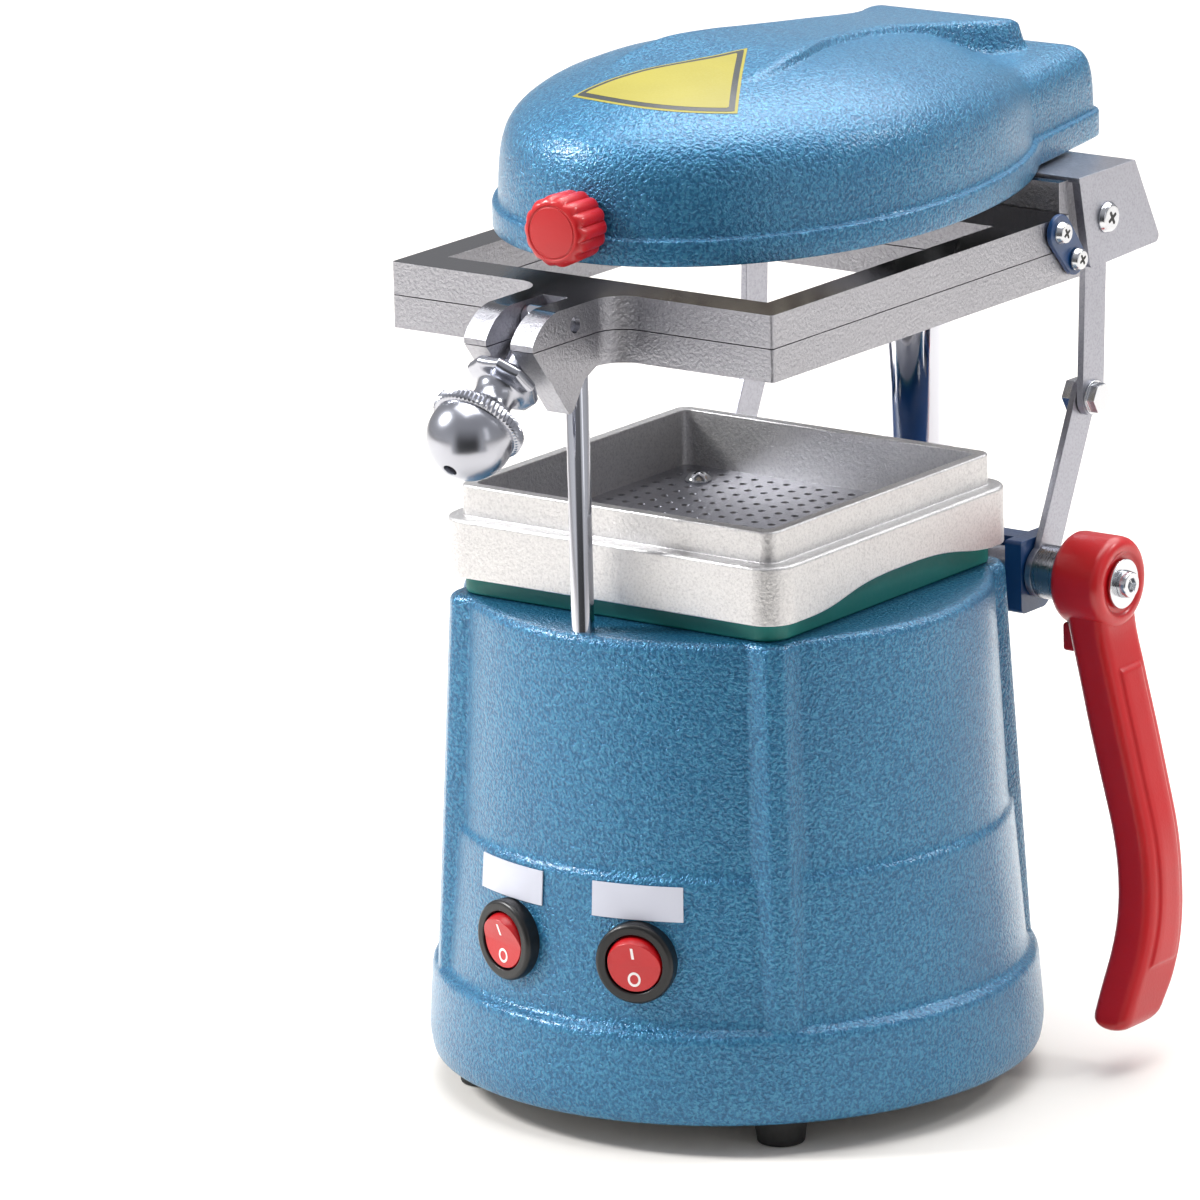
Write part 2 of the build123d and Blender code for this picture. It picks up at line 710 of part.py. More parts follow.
# ---------------------------------------------------------------------------
# Upper frame, its hinge plates and the clamp
# ---------------------------------------------------------------------------
with BuildPart() as upper_frame:
    with BuildSketch(level(upper_frame_z0)):
        with BuildLine():
            FilletPolyline((-frame_half_x, frame_front_y), (-fork_half, frame_front_y), (-fork_half, -112.6),
                           (fork_half, -112.6), (fork_half, frame_front_y), (frame_half_x, frame_front_y),
                           (frame_half_x, upper_frame_rear_y), (-frame_half_x, upper_frame_rear_y),
                           radius=[1.0, 9.0, 0, 0, 9.0, 1.0, 1.0, 1.0], close=True)
        make_face()
        Rectangle(2 * frame_open_half, 2 * frame_open_half, mode=Mode.SUBTRACT)
    extrude(amount=upper_frame_z1 - upper_frame_z0)
    # rounded front of the two ears
    with BuildSketch(facing_side(-20.0)):
        with BuildLine():
            Line((-96.0, upper_frame_z1), (-96.0, 262.0))
            Line((-96.0, 262.0), (-116.0, 262.0))
            Line((-116.0, 262.0), (-116.0, 251.4))
            Line((-116.0, 251.4), (-112.6, 251.4))
            ThreePointArc((-112.6, 251.4), (-106.6, 257.4), (-96.0, upper_frame_z1))
        make_face()
    extrude(amount=40.0, mode=Mode.SUBTRACT)
    with BuildSketch(level(240.0)):
        with Locations((0, slot_root_y - 25.0)):
            Rectangle(2 * slot_half, 50.0)
    extrude(amount=40.0, mode=Mode.SUBTRACT)
    with BuildSketch(Plane(origin=(CX - 20.0, CY + clamp_pin_at[0], clamp_pin_at[1]), x_dir=(0, 1, 0), z_dir=(1, 0, 0))):
        Circle(clamp_pin_r)
    extrude(amount=40.0, mode=Mode.SUBTRACT)
    for sx in (-72.0, 62.0):
        with BuildSketch(Plane(origin=(CX + sx, CY + frame_hinge_upper[0], frame_hinge_upper[1]), x_dir=(0, 1, 0), z_dir=(1, 0, 0))):
            Circle(2.0)
        extrude(amount=10.0, mode=Mode.SUBTRACT)
upper_frame.part.label = "upper_frame"

with BuildPart() as hinge_plates:
    for px0 in (-72.0, 70.3):
        with BuildSketch(facing_side(px0)) as plate_face:
            with Locations(frame_hinge_upper):
                Circle(5.6)
            with Locations(frame_hinge):
                Circle(5.0)
            make_hull()
            with Locations(frame_hinge_upper):
                Circle(2.0, mode=Mode.SUBTRACT)
            with Locations(frame_hinge):
                Circle(2.2 + run, mode=Mode.SUBTRACT)
        extrude(amount=1.7)
hinge_plates.part.label = "hinge_plates"

with BuildPart() as upper_hinge_screws:
    for sgn in (-1, 1):
        with BuildSketch(Plane(origin=(CX + sgn * 62.0, CY + frame_hinge_upper[0], frame_hinge_upper[1]), x_dir=(0, 1, 0), z_dir=(sgn, 0, 0))):
            Circle(2.0)
        extrude(amount=10.0)
        with BuildSketch(Plane(origin=(CX + sgn * 70.0, CY + frame_hinge_upper[0], frame_hinge_upper[1]), x_dir=(0, 1, 0), z_dir=(sgn, 0, 0))):
            Circle(3.7)
        extrude(amount=0.3)
        with BuildSketch(Plane(origin=(CX + sgn * 72.0, CY + frame_hinge_upper[0], frame_hinge_upper[1]), x_dir=(0, 1, 0), z_dir=(sgn, 0, 0))):
            Circle(3.7)
        extrude(amount=2.2, taper=20)
upper_hinge_screws.part.label = "upper_hinge_screws"

with BuildPart() as clamp_pin:
    with BuildSketch(Plane(origin=(CX - 11.2, CY + clamp_pin_at[0], clamp_pin_at[1]), x_dir=(0, 1, 0), z_dir=(1, 0, 0))):
        Circle(clamp_pin_r)
    extrude(amount=22.4)
clamp_pin.part.label = "clamp_pin"

with BuildPart() as swing_bolt:
    with BuildSketch(Plane(origin=(CX - 4.1, CY + clamp_pin_at[0], clamp_pin_at[1]), x_dir=(0, 1, 0), z_dir=(1, 0, 0))):
        Circle(4.5)
    extrude(amount=8.2)
    with BuildSketch(BOLT_PLANE):
        with BuildLine():
            Polyline((0.5, 0), (0.5, bolt_r), (39.0, bolt_r), (40.0, bolt_r - 1.0), (40.0, 0), (0.5, 0))
        make_face()
    revolve(axis=BOLT_AXIS)
    with BuildSketch(Plane(origin=(CX - 11.2, CY + clamp_pin_at[0], clamp_pin_at[1]), x_dir=(0, 1, 0), z_dir=(1, 0, 0))):
        Circle(clamp_pin_r + run)
    extrude(amount=22.4, mode=Mode.SUBTRACT)
swing_bolt.part.label = "swing_bolt"

ball_t = 45.5
ball_rad = 13.0
ball_edge = math.sqrt(ball_rad ** 2 - (ball_t - 42.0) ** 2)
hole_edge = ball_t + math.sqrt(ball_rad ** 2 - 2.1 ** 2)
with BuildPart() as clamp_knob:
    with BuildSketch(BOLT_PLANE):
        with BuildLine():
            Polyline((22.3, bolt_r + run), (22.3, 10.3), (23.3, 11.4), (25.6, 11.4), (26.6, 10.2), (27.4, 7.0),
                     (30.0, 6.2), (34.0, 6.6), (36.6, 8.6), (38.0, 12.6), (38.0, 14.4), (42.0, 14.4), (42.0, ball_edge))
            ThreePointArc((42.0, ball_edge), (ball_t + ball_rad * math.sin(math.radians(42)), ball_rad * math.cos(math.radians(42))),
                          (hole_edge, 2.1))
            Polyline((hole_edge, 2.1), (53.0, 2.1), (53.0, 0), (41.0, 0), (41.0, bolt_r + run), (22.3, bolt_r + run))
        make_face()
    revolve(axis=BOLT_AXIS)
clamp_knob.part.label = "clamp_knob"


# ---------------------------------------------------------------------------
# Lever train: cross shaft, arms, collar, lever, links
# ---------------------------------------------------------------------------
def on_shaft(x):
    return Plane(origin=(CX + x, CY + shaft_at[0], shaft_at[1]), x_dir=(0, 1, 0), z_dir=(1, 0, 0))


with BuildPart() as cross_shaft:
    with BuildSketch(on_shaft(-69.0)):
        Circle(shaft_r)
    extrude(amount=69.0 + 90.5)
    with BuildSketch(on_shaft(80.0)):
        Circle(2.0)
    extrude(amount=20.0, mode=Mode.SUBTRACT)
cross_shaft.part.label = "cross_shaft"


def strap_outline(a, b, ra, rb, bore_a, bore_b):
    with Locations(a):
        Circle(ra)
    with Locations(b):
        Circle(rb)
    make_hull()
    with Locations(a):
        Circle(bore_a, mode=Mode.SUBTRACT)
    with Locations(b):
        Circle(bore_b, mode=Mode.SUBTRACT)


with BuildPart() as right_arm:
    with BuildSketch(facing_side(arm_x[0])):
        with Locations(shaft_at):
            Circle(strap_r)
        with Locations(arm_pin_at):
            Circle(strap_r)
        make_hull()
        with Locations(shaft_at):
            Circle(8.2)
            Circle(shaft_r, mode=Mode.SUBTRACT)
        with Locations(arm_pin_at):
            Circle(link_pin_r + run, mode=Mode.SUBTRACT)
    extrude(amount=arm_x[1] - arm_x[0])
right_arm.part.label = "right_arm"

with BuildPart() as left_arm:
    with BuildSketch(facing_side(-arm_x[1])):
        with Locations(shaft_at):
            Circle(strap_r)
        with Locations(arm_pin_at):
            Circle(strap_r)
        make_hull()
        with Locations(shaft_at):
            Circle(8.2)
            Circle(shaft_r, mode=Mode.SUBTRACT)
        with Locations(arm_pin_at):
            Circle(link_pin_r + run, mode=Mode.SUBTRACT)
    extrude(amount=arm_x[1] - arm_x[0])
left_arm.part.label = "left_arm"

with BuildPart() as shaft_collar:
    with BuildSketch(on_shaft(arm_x[1])):
        Circle(8.4)
        Circle(shaft_r, mode=Mode.SUBTRACT)
    extrude(amount=73.0 - arm_x[1])
shaft_collar.part.label = "shaft_collar"

with BuildPart() as shaft_nut:
    with BuildSketch(on_shaft(-arm_x[1] - 6.0)):
        RegularPolygon(9.4, 6)
        Circle(shaft_r, mode=Mode.SUBTRACT)
    extrude(amount=6.0)
shaft_nut.part.label = "shaft_nut"

# grip sections from the hub downwards: z, inner x, outer x, front y, rear y
grip = [
    (149.0, 74.0, 89.0, 70.0, 90.0),
    (135.0, 76.0, 90.0, 69.6, 90.4),
    (119.0, 79.6, 93.6, 69.6, 90.4),
    (102.0, 83.6, 97.8, 69.5, 90.5),
    (85.0, 88.0, 102.0, 69.5, 90.2),
    (70.0, 92.0, 105.8, 69.0, 89.4),
    (57.0, 94.4, 108.0, 67.8, 88.0),
    (45.0, 95.4, 109.0, 65.6, 86.6),
    (35.0, 95.6, 109.3, 61.8, 84.4),
    (26.0, 95.6, 109.3, 56.8, 80.4),
    (17.5, 95.6, 109.0, 52.4, 74.4),
]
with BuildPart() as lever_handle:
    for gz, gx0, gx1, gy0, gy1 in grip:
        with BuildSketch(level(gz, (gx0 + gx1) / 2, (gy0 + gy1) / 2)):
            RectangleRounded(gx1 - gx0, gy1 - gy0, 3.0)
    loft(ruled=True)
    with BuildSketch(level(17.5, 102.3, 63.4)):
        RectangleRounded(13.4, 22.0, 3.0)
    with BuildSketch(level(13.2, 102.3, 62.0)):
        RectangleRounded(8.4, 14.0, 3.0)
    loft(ruled=True)
    with BuildSketch(on_shaft(73.0)):
        Circle(14.4)
    extrude(amount=15.3)
    with BuildSketch(on_shaft(88.3)):
        Circle(14.4)
    extrude(amount=2.2, taper=40)
    with BuildSketch(facing_side(71.5)):
        Polygon((75.0, 124.5), (85.0, 124.5), (85.0, 132.5), (75.0, 132.5), align=None)
    extrude(amount=6.0)
    with BuildSketch(on_shaft(60.0)):
        Circle(shaft_r)
    extrude(amount=60.0, mode=Mode.SUBTRACT)
lever_handle.part.label = "lever_handle"

with BuildPart() as lever_washer:
    with BuildSketch(on_shaft(90.5)):
        Circle(7.7)
        Circle(2.0, mode=Mode.SUBTRACT)
    extrude(amount=1.0)
lever_washer.part.label = "lever_washer"

with BuildPart() as lever_screw:
    with BuildSketch(on_shaft(80.0)):
        Circle(2.0)
    extrude(amount=11.5)
    with BuildSketch(on_shaft(91.5)):
        Circle(4.4)
    extrude(amount=2.8, taper=10)
    with BuildSketch(on_shaft(92.6)):
        RegularPolygon(2.3, 6)
    extrude(amount=4.0, mode=Mode.SUBTRACT)
lever_screw.part.label = "lever_screw"

with BuildPart() as right_link:
    with BuildSketch(facing_side(link_x[0])):
        with Locations(arm_pin_at, link_top_at):
            Circle(strap_r)
        make_hull()
        with Locations(arm_pin_at):
            Circle(link_pin_r, mode=Mode.SUBTRACT)
        with Locations(link_top_at):
            Circle(3.2, mode=Mode.SUBTRACT)
    extrude(amount=link_x[1] - link_x[0])
right_link.part.label = "right_link"

with BuildPart() as left_link:
    with BuildSketch(facing_side(-link_x[1])):
        with Locations(arm_pin_at, link_top_at):
            Circle(strap_r)
        make_hull()
        with Locations(arm_pin_at):
            Circle(link_pin_r, mode=Mode.SUBTRACT)
        with Locations(link_top_at):
            Circle(3.2, mode=Mode.SUBTRACT)
    extrude(amount=link_x[1] - link_x[0])
left_link.part.label = "left_link"

with BuildPart() as link_bolts:
    for sgn in (-1, 1):
        def on_pin(x):
            return Plane(origin=(CX + sgn * x, CY + arm_pin_at[0], arm_pin_at[1]), x_dir=(0, 1, 0), z_dir=(sgn, 0, 0))
        with BuildSketch(on_pin(56.6)):
            RegularPolygon(5.6, 6)
        extrude(amount=3.1)
        with BuildSketch(on_pin(59.7)):
            Circle(link_pin_r)
        extrude(amount=link_x[1] - 59.7)
        with BuildSketch(on_pin(link_x[1])):
            Circle(5.4)
        extrude(amount=0.8)
        with BuildSketch(on_pin(link_x[1] + 0.8)):
            RegularPolygon(4.9, 6)
        extrude(amount=2.6)
link_bolts.part.label = "link_bolts"


# ---------------------------------------------------------------------------
# Heater hood, turning on the column. Sketches are centred on the column axis;
# local -Y points to the front of the machine.
# ---------------------------------------------------------------------------
def egg(inset, rear=0.0, count=24):
    pts = []
    for k in range(count):
        a = 2 * math.pi * k / count
        bx = hood_half_width - inset
        by = (hood_front if math.sin(a) < 0 else hood_rear - rear) - inset
        pts.append((bx * math.cos(a), hood_centre + by * math.sin(a)))
    return pts


def neck_outline(inset):
    return [(-52.0 + inset, -22.0), (-45.2 + inset, 30.0), (-42.6 + inset, 46.5 - inset),
            (42.6 - inset, 46.5 - inset), (45.2 - inset, 30.0), (52.0 - inset, -22.0)]


# height, inset all round, extra inset at the rear
dome_levels = [(278.2, 1.8, 0.0), (290.0, 2.8, 2.0), (300.0, 7.4, 7.0), (308.0, 15.5, 14.0), (314.0, 27.0, 22.0), (318.0, 42.0, 30.0)]
hollow_levels = [(hood_bottom_z - 1.0, 4.8, 0.0), (290.0, 5.8, 2.0), (299.0, 10.4, 7.0), (306.0, 18.5, 13.0), (311.0, 30.0, 20.0), (315.0, 45.0, 28.0)]

spine_sections = [(-128.0, 24.0, 317.6), (-104.0, 25.0, 320.8), (-75.0, 19.0, 319.6), (-40.0, 16.0, 316.0),
                  (-10.0, 17.5, 312.2), (8.0, 23.0, 310.0), (16.0, 24.0, 309.0), (20.0, 22.0, 304.0)]

with BuildPart() as hood_shell:
    for dz, di, dr in dome_levels:
        with BuildSketch(hood_level(dz)):
            with BuildLine():
                Spline(*egg(di, dr), periodic=True)
            make_face()
    loft()
    with BuildSketch(hood_level(hood_bottom_z)):
        with BuildLine():
            Spline(*egg(0.0), periodic=True)
        make_face()
    extrude(amount=hood_rim_top_z - hood_bottom_z)
    with BuildSketch(hood_level(hood_bottom_z)):
        with BuildLine():
            FilletPolyline(*neck_outline(0.0), radius=[0, 0, 10.0, 10.0, 0, 0], close=True)
        make_face()
    extrude(amount=hood_rim_top_z - hood_bottom_z)
    with BuildSketch(hood_level(hood_rim_top_z - 1.0)):
        with BuildLine():
            FilletPolyline(*neck_outline(1.8), radius=[0, 0, 9.0, 9.0, 0, 0], close=True)
        make_face()
    extrude(amount=neck_top_z - 8.0 - hood_rim_top_z + 1.0)
    with BuildSketch(hood_level(neck_top_z - 8.0)):
        with BuildLine():
            FilletPolyline(*neck_outline(1.8), radius=[0, 0, 9.0, 9.0, 0, 0], close=True)
        make_face()
    with BuildSketch(hood_level(neck_top_z)):
        with BuildLine():
            FilletPolyline(*neck_outline(8.0), radius=[0, 0, 7.0, 7.0, 0, 0], close=True)
        make_face()
    loft(ruled=True)
    # raised spine that runs from the crown down onto the neck
    for sy, sw, st in spine_sections:
        with BuildSketch(hood_front_plane(sy)):
            with Locations((0, (st + 294.0) / 2)):
                RectangleRounded(2 * sw, st - 294.0, 3.5)
    loft(ruled=True)
    # hollow inside, open at the bottom
    for dz, di, dr in hollow_levels:
        with BuildSketch(hood_level(dz)):
            with BuildLine():
                Spline(*egg(di, dr), periodic=True)
            make_face()
    loft(mode=Mode.SUBTRACT)
    with BuildSketch(hood_level(hood_bottom_z - 1.0)):
        with BuildLine():
            FilletPolyline(*neck_outline(4.8), radius=[0, 0, 6.0, 6.0, 0, 0], close=True)
        make_face()
    extrude(amount=293.5 - hood_bottom_z + 1.0, mode=Mode.SUBTRACT)
    # hole for the knob stem
    with BuildSketch(hood_front_plane(-170.0)):
        with Locations((0, 282.0)):
            Circle(4.0)
    extrude(amount=30.0, mode=Mode.SUBTRACT)
hood_shell.part.label = "hood_shell"

with BuildPart() as hood_hub:
    with BuildSketch(hood_level(271.4)):
        Circle(17.0)
    extrude(amount=293.5 - 271.4)
    with BuildSketch(hood_level(271.4)):
        Rectangle(80.0, 5.0)
        Rectangle(5.0, 60.0)
    extrude(amount=293.5 - 271.4)
    with BuildSketch(hood_level(271.0)):
        Circle(column_r + run)
    extrude(amount=column_top_z + 0.3 - 271.0, mode=Mode.SUBTRACT)
hood_hub.part.label = "hood_hub"

REFLECTOR_C = -103.0
with BuildPart() as heat_reflector:
    a = math.radians(hood_swing)
    rx, ry = CX - REFLECTOR_C * math.sin(a), CY + column_y + REFLECTOR_C * math.cos(a)
    with BuildSketch(Plane(origin=(rx, ry, 0), x_dir=(1, 0, 0), z_dir=(0, -1, 0))):
        with BuildLine():
            FilletPolyline((0, 292.0), (46.0, 292.0), (54.0, 280.0), (62.0, 280.0), (62.0, 281.2), (54.8, 281.2),
                           (46.8, 293.2), (0, 293.2), radius=[0, 2.0, 1.5, 0, 0, 1.0, 2.5, 0], close=True)
        make_face()
    revolve(axis=Axis((rx, ry, 0), (0, 0, 1)))
heat_reflector.part.label = "heat_reflector"

with BuildPart() as heater_disc:
    with BuildSketch(Plane(origin=(rx, ry, 281.0))):
        Circle(42.0)
    extrude(amount=7.0)
    with BuildSketch(Plane(origin=(rx, ry, 281.0))):
        for rr in (35.0, 27.0, 19.0, 11.0):
            Circle(rr + 2.0)
            Circle(rr - 2.0, mode=Mode.SUBTRACT)
    extrude(amount=3.6, mode=Mode.SUBTRACT)
heater_disc.part.label = "heater_disc"

with BuildPart() as heating_coils:
    for rr in (11.0, 19.0, 27.0, 35.0):
        with BuildSketch(Plane(origin=(rx, ry, 0), x_dir=(1, 0, 0), z_dir=(0, -1, 0))):
            with Locations((rr, 282.5)):
                Circle(2.0)
        revolve(axis=Axis((rx, ry, 0), (0, 0, 1)))
heating_coils.part.label = "heating_coils"

with BuildPart() as heater_studs:
    with BuildSketch(Plane(origin=(rx, ry, 288.0))):
        with PolarLocations(18.0, 3, start_angle=30):
            Circle(2.0)
    extrude(amount=4.0)
    with BuildSketch(Plane(origin=(rx, ry, 293.2))):
        with PolarLocations(18.0, 3, start_angle=30):
            Circle(2.0)
    extrude(amount=315.0 - 293.2)
heater_studs.part.label = "heater_studs"

with BuildPart() as hood_knob:
    with BuildSketch(hood_front_plane(-178.0)):
        with Locations((0, 282.0)):
            Circle(4.0)
    extrude(amount=8.4)
    with BuildSketch(hood_front_plane(-186.4)):
        with Locations((0, 282.0)):
            Circle(9.2)
            with PolarLocations(10.4, 10, start_angle=18):
                Circle(1.9, mode=Mode.SUBTRACT)
    extrude(amount=12.2)
hood_knob.part.label = "hood_knob"


# ---------------------------------------------------------------------------
# Output
# ---------------------------------------------------------------------------
pieces = [
    body_shell, base_plate, rubber_feet, base_screws, switch_bezels, heater_rocker, vacuum_rocker, label_plates,
    cable_gland, fuse_holder, terminal_block, motor_mount, vacuum_motor, blower_housing, impeller, suction_duct,
    platform_gasket, vacuum_platform, perforated_plate, plate_screws, rear_bracket, bracket_screws, rear_column,
    rod_bush, lower_frame, front_rod, crossbeam, column_bush, rear_cover, link_rivets, lower_hinge_screws,
    upper_frame, hinge_plates, upper_hinge_screws, clamp_pin, swing_bolt, clamp_knob, cross_shaft, right_arm,
    left_arm, shaft_collar, shaft_nut, lever_handle, lever_washer, lever_screw, right_link, left_link, link_bolts,
    hood_shell, hood_hub, heat_reflector, heater_disc, heating_coils, heater_studs, hood_knob,
]
lo = [1e9] * 3
hi = [-1e9] * 3
for piece in pieces:
    export_step(piece.part, "parts/" + piece.part.label + ".step")
    box = piece.part.bounding_box()
    for k, (p, q) in enumerate(((box.min.X, box.max.X), (box.min.Y, box.max.Y), (box.min.Z, box.max.Z))):
        lo[k] = min(lo[k], p)
        hi[k] = max(hi[k], q)
print("pieces", len(pieces))
print("box low", [round(v, 3) for v in lo], "high", [round(v, 3) for v in hi])
print("centre", round((lo[0] + hi[0]) / 2, 4), round((lo[1] + hi[1]) / 2, 4))
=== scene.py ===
import json
import math

import bpy
import bmesh
import numpy as np
from mathutils import Matrix, Vector


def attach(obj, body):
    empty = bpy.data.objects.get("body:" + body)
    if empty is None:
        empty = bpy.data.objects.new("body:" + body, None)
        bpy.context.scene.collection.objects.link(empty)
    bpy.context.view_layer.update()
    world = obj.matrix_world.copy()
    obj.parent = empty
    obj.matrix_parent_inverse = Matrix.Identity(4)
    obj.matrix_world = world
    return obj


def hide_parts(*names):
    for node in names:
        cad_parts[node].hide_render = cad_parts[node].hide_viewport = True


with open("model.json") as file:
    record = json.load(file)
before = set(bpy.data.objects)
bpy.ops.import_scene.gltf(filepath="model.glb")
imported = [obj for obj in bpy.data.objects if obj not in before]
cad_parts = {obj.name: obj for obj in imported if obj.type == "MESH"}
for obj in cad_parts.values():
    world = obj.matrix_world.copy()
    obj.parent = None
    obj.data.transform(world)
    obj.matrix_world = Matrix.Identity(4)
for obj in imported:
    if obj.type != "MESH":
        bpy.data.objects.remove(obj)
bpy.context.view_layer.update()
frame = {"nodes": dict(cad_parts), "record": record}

MM = 0.001
CX, CY = -7.4566, -5.2697
COLUMN_Y = 103.0
SWING = math.radians(2.4)


# ---------------------------------------------------------------------------
# small helpers
# ---------------------------------------------------------------------------
def lin(r, g, b):
    out = []
    for c in (r, g, b):
        c = c / 255.0
        out.append(c / 12.92 if c <= 0.04045 else ((c + 0.055) / 1.055) ** 2.4)
    return (out[0], out[1], out[2], 1.0)


def pchip(xs, ys):
    xs, ys = np.array(xs, float), np.array(ys, float)
    h = np.diff(xs)
    d = np.diff(ys) / h
    m = np.zeros(len(xs))
    m[0], m[-1] = d[0], d[-1]
    for k in range(1, len(xs) - 1):
        if d[k - 1] * d[k] > 0:
            w1, w2 = 2 * h[k] + h[k - 1], h[k] + 2 * h[k - 1]
            m[k] = (w1 + w2) / (w1 / d[k - 1] + w2 / d[k])

    def f(x):
        x = np.clip(np.asarray(x, float), xs[0], xs[-1])
        k = np.clip(np.searchsorted(xs, x) - 1, 0, len(xs) - 2)
        t = (x - xs[k]) / h[k]
        return ((2 * t ** 3 - 3 * t ** 2 + 1) * ys[k] + (t ** 3 - 2 * t ** 2 + t) * h[k] * m[k]
                + (-2 * t ** 3 + 3 * t ** 2) * ys[k + 1] + (t ** 3 - t ** 2) * h[k] * m[k + 1])
    return f


def smax(a, b, k):
    h = np.clip(0.5 + 0.5 * (a - b) / k, 0, 1)
    return b * (1 - h) + a * h + k * h * (1 - h)


def new_object(name, verts, faces, smooth=True):
    me = bpy.data.meshes.new(name)
    me.from_pydata([tuple(v) for v in verts], [], faces)
    me.validate()
    bm = bmesh.new()
    bm.from_mesh(me)
    bmesh.ops.recalc_face_normals(bm, faces=bm.faces)
    bm.to_mesh(me)
    bm.free()
    me.polygons.foreach_set("use_smooth", [smooth] * len(me.polygons))
    ob = bpy.data.objects.new(name, me)
    bpy.context.scene.collection.objects.link(ob)
    return ob


def rings_mesh(name, rings, cap_first=False, cap_last=False, smooth=True):
    """rings: array (n, m, 3) in metres, every ring closed round."""
    rings = np.asarray(rings, float)
    n, m = rings.shape[:2]
    verts = rings.reshape(-1, 3).tolist()
    faces = []
    for i in range(n - 1):
        for j in range(m):
            a, b = i * m + j, i * m + (j + 1) % m
            faces.append((a, b, b + m, a + m))
    if cap_first:
        verts.append(rings[0].mean(0).tolist())
        c = len(verts) - 1
        faces += [(c, (j + 1) % m, j) for j in range(m)]
    if cap_last:
        verts.append(rings[-1].mean(0).tolist())
        c = len(verts) - 1
        base = (n - 1) * m
        faces += [(c, base + j, base + (j + 1) % m) for j in range(m)]
    return new_object(name, verts, faces, smooth)


def sharp(ob, degrees=38.0):
    ob.data.set_sharp_from_angle(angle=math.radians(degrees))


def join_into(target, others):
    bm = bmesh.new()
    bm.from_mesh(target.data)
    for o in others:
        bm.from_mesh(o.data)
    bm.to_mesh(target.data)
    bm.free()
    for o in others:
        me = o.data
        bpy.data.objects.remove(o, do_unlink=True)
        bpy.data.meshes.remove(me)


def box_object(name, lo, hi, bevel):
    lo, hi = np.array(lo) * MM, np.array(hi) * MM
    v = [(x, y, z) for x in (lo[0], hi[0]) for y in (lo[1], hi[1]) for z in (lo[2], hi[2])]
    f = [(0, 1, 3, 2), (4, 6, 7, 5), (0, 4, 5, 1), (2, 3, 7, 6), (0, 2, 6, 4), (1, 5, 7, 3)]
    ob = new_object(name, v, f)
    bm = bmesh.new()
    bm.from_mesh(ob.data)
    bmesh.ops.bevel(bm, geom=list(bm.edges), offset=bevel * MM, segments=4, profile=0.5, affect="EDGES")
    bm.to_mesh(ob.data)
    bm.free()
    ob.data.polygons.foreach_set("use_smooth", [True] * len(ob.data.polygons))
    return ob


# ---------------------------------------------------------------------------
# materials
# ---------------------------------------------------------------------------
class Shader:
    def __init__(self, name):
        self.mat = bpy.data.materials.new(name)
        self.mat.use_nodes = True
        self.nt = self.mat.node_tree
        self.nt.nodes.clear()
        self.out = self.nt.nodes.new("ShaderNodeOutputMaterial")
        self.bsdf = self.nt.nodes.new("ShaderNodeBsdfPrincipled")
        self.nt.links.new(self.bsdf.outputs[0], self.out.inputs[0])
        self.coord = self.nt.nodes.new("ShaderNodeTexCoord")

    def set(self, **kw):
        for k, v in kw.items():
            self.bsdf.inputs[k.replace("_", " ")].default_value = v
        return self

    def node(self, kind, **kw):
        n = self.nt.nodes.new(kind)
        for k, v in kw.items():
            setattr(n, k, v)
        return n

    def link(self, a, b):
        self.nt.links.new(a, b)

    def noise(self, scale, detail=2.0, rough=0.5, vector=None):
        n = self.node("ShaderNodeTexNoise")
        n.inputs["Scale"].default_value = scale
        n.inputs["Detail"].default_value = detail
        n.inputs["Roughness"].default_value = rough
        self.link(vector or self.coord.outputs["Object"], n.inputs["Vector"])
        return n.outputs["Fac"]

    def stretched(self, scale):
        m = self.node("ShaderNodeMapping")
        m.inputs["Scale"].default_value = scale
        self.link(self.coord.outputs["Object"], m.inputs["Vector"])
        return m.outputs["Vector"]

    def ramp(self, fac, stops):
        r = self.node("ShaderNodeValToRGB")
        el = r.color_ramp.elements
        while len(el) < len(stops):
            el.new(0.5)
        for e, (p, c) in zip(el, stops):
            e.position = p
            e.color = c if len(c) == 4 else (*c, 1.0)
        self.link(fac, r.inputs["Fac"])
        return r.outputs["Color"]

    def span(self, fac, lo, hi, a, b):
        r = self.node("ShaderNodeMapRange")
        r.inputs["From Min"].default_value = lo
        r.inputs["From Max"].default_value = hi
        r.inputs["To Min"].default_value = a
        r.inputs["To Max"].default_value = b
        self.link(fac, r.inputs["Value"])
        return r.outputs["Result"]

    def bump(self, height, distance, strength=1.0, normal=None):
        b = self.node("ShaderNodeBump")
        b.inputs["Distance"].default_value = distance
        b.inputs["Strength"].default_value = strength
        self.link(height, b.inputs["Height"])
        if normal is not None:
            self.link(normal, b.inputs["Normal"])
        self.link(b.outputs["Normal"], self.bsdf.inputs["Normal"])
        return b.outputs["Normal"]

    def mix(self, fac, a, b):
        m = self.node("ShaderNodeMix", data_type="RGBA")
        if isinstance(fac, float):
            m.inputs["Factor"].default_value = fac
        else:
            self.link(fac, m.inputs["Factor"])
        for socket, v in ((m.inputs[6], a), (m.inputs[7], b)):
            if isinstance(v, tuple):
                socket.default_value = v
            else:
                self.link(v, socket)
        return m.outputs[2]


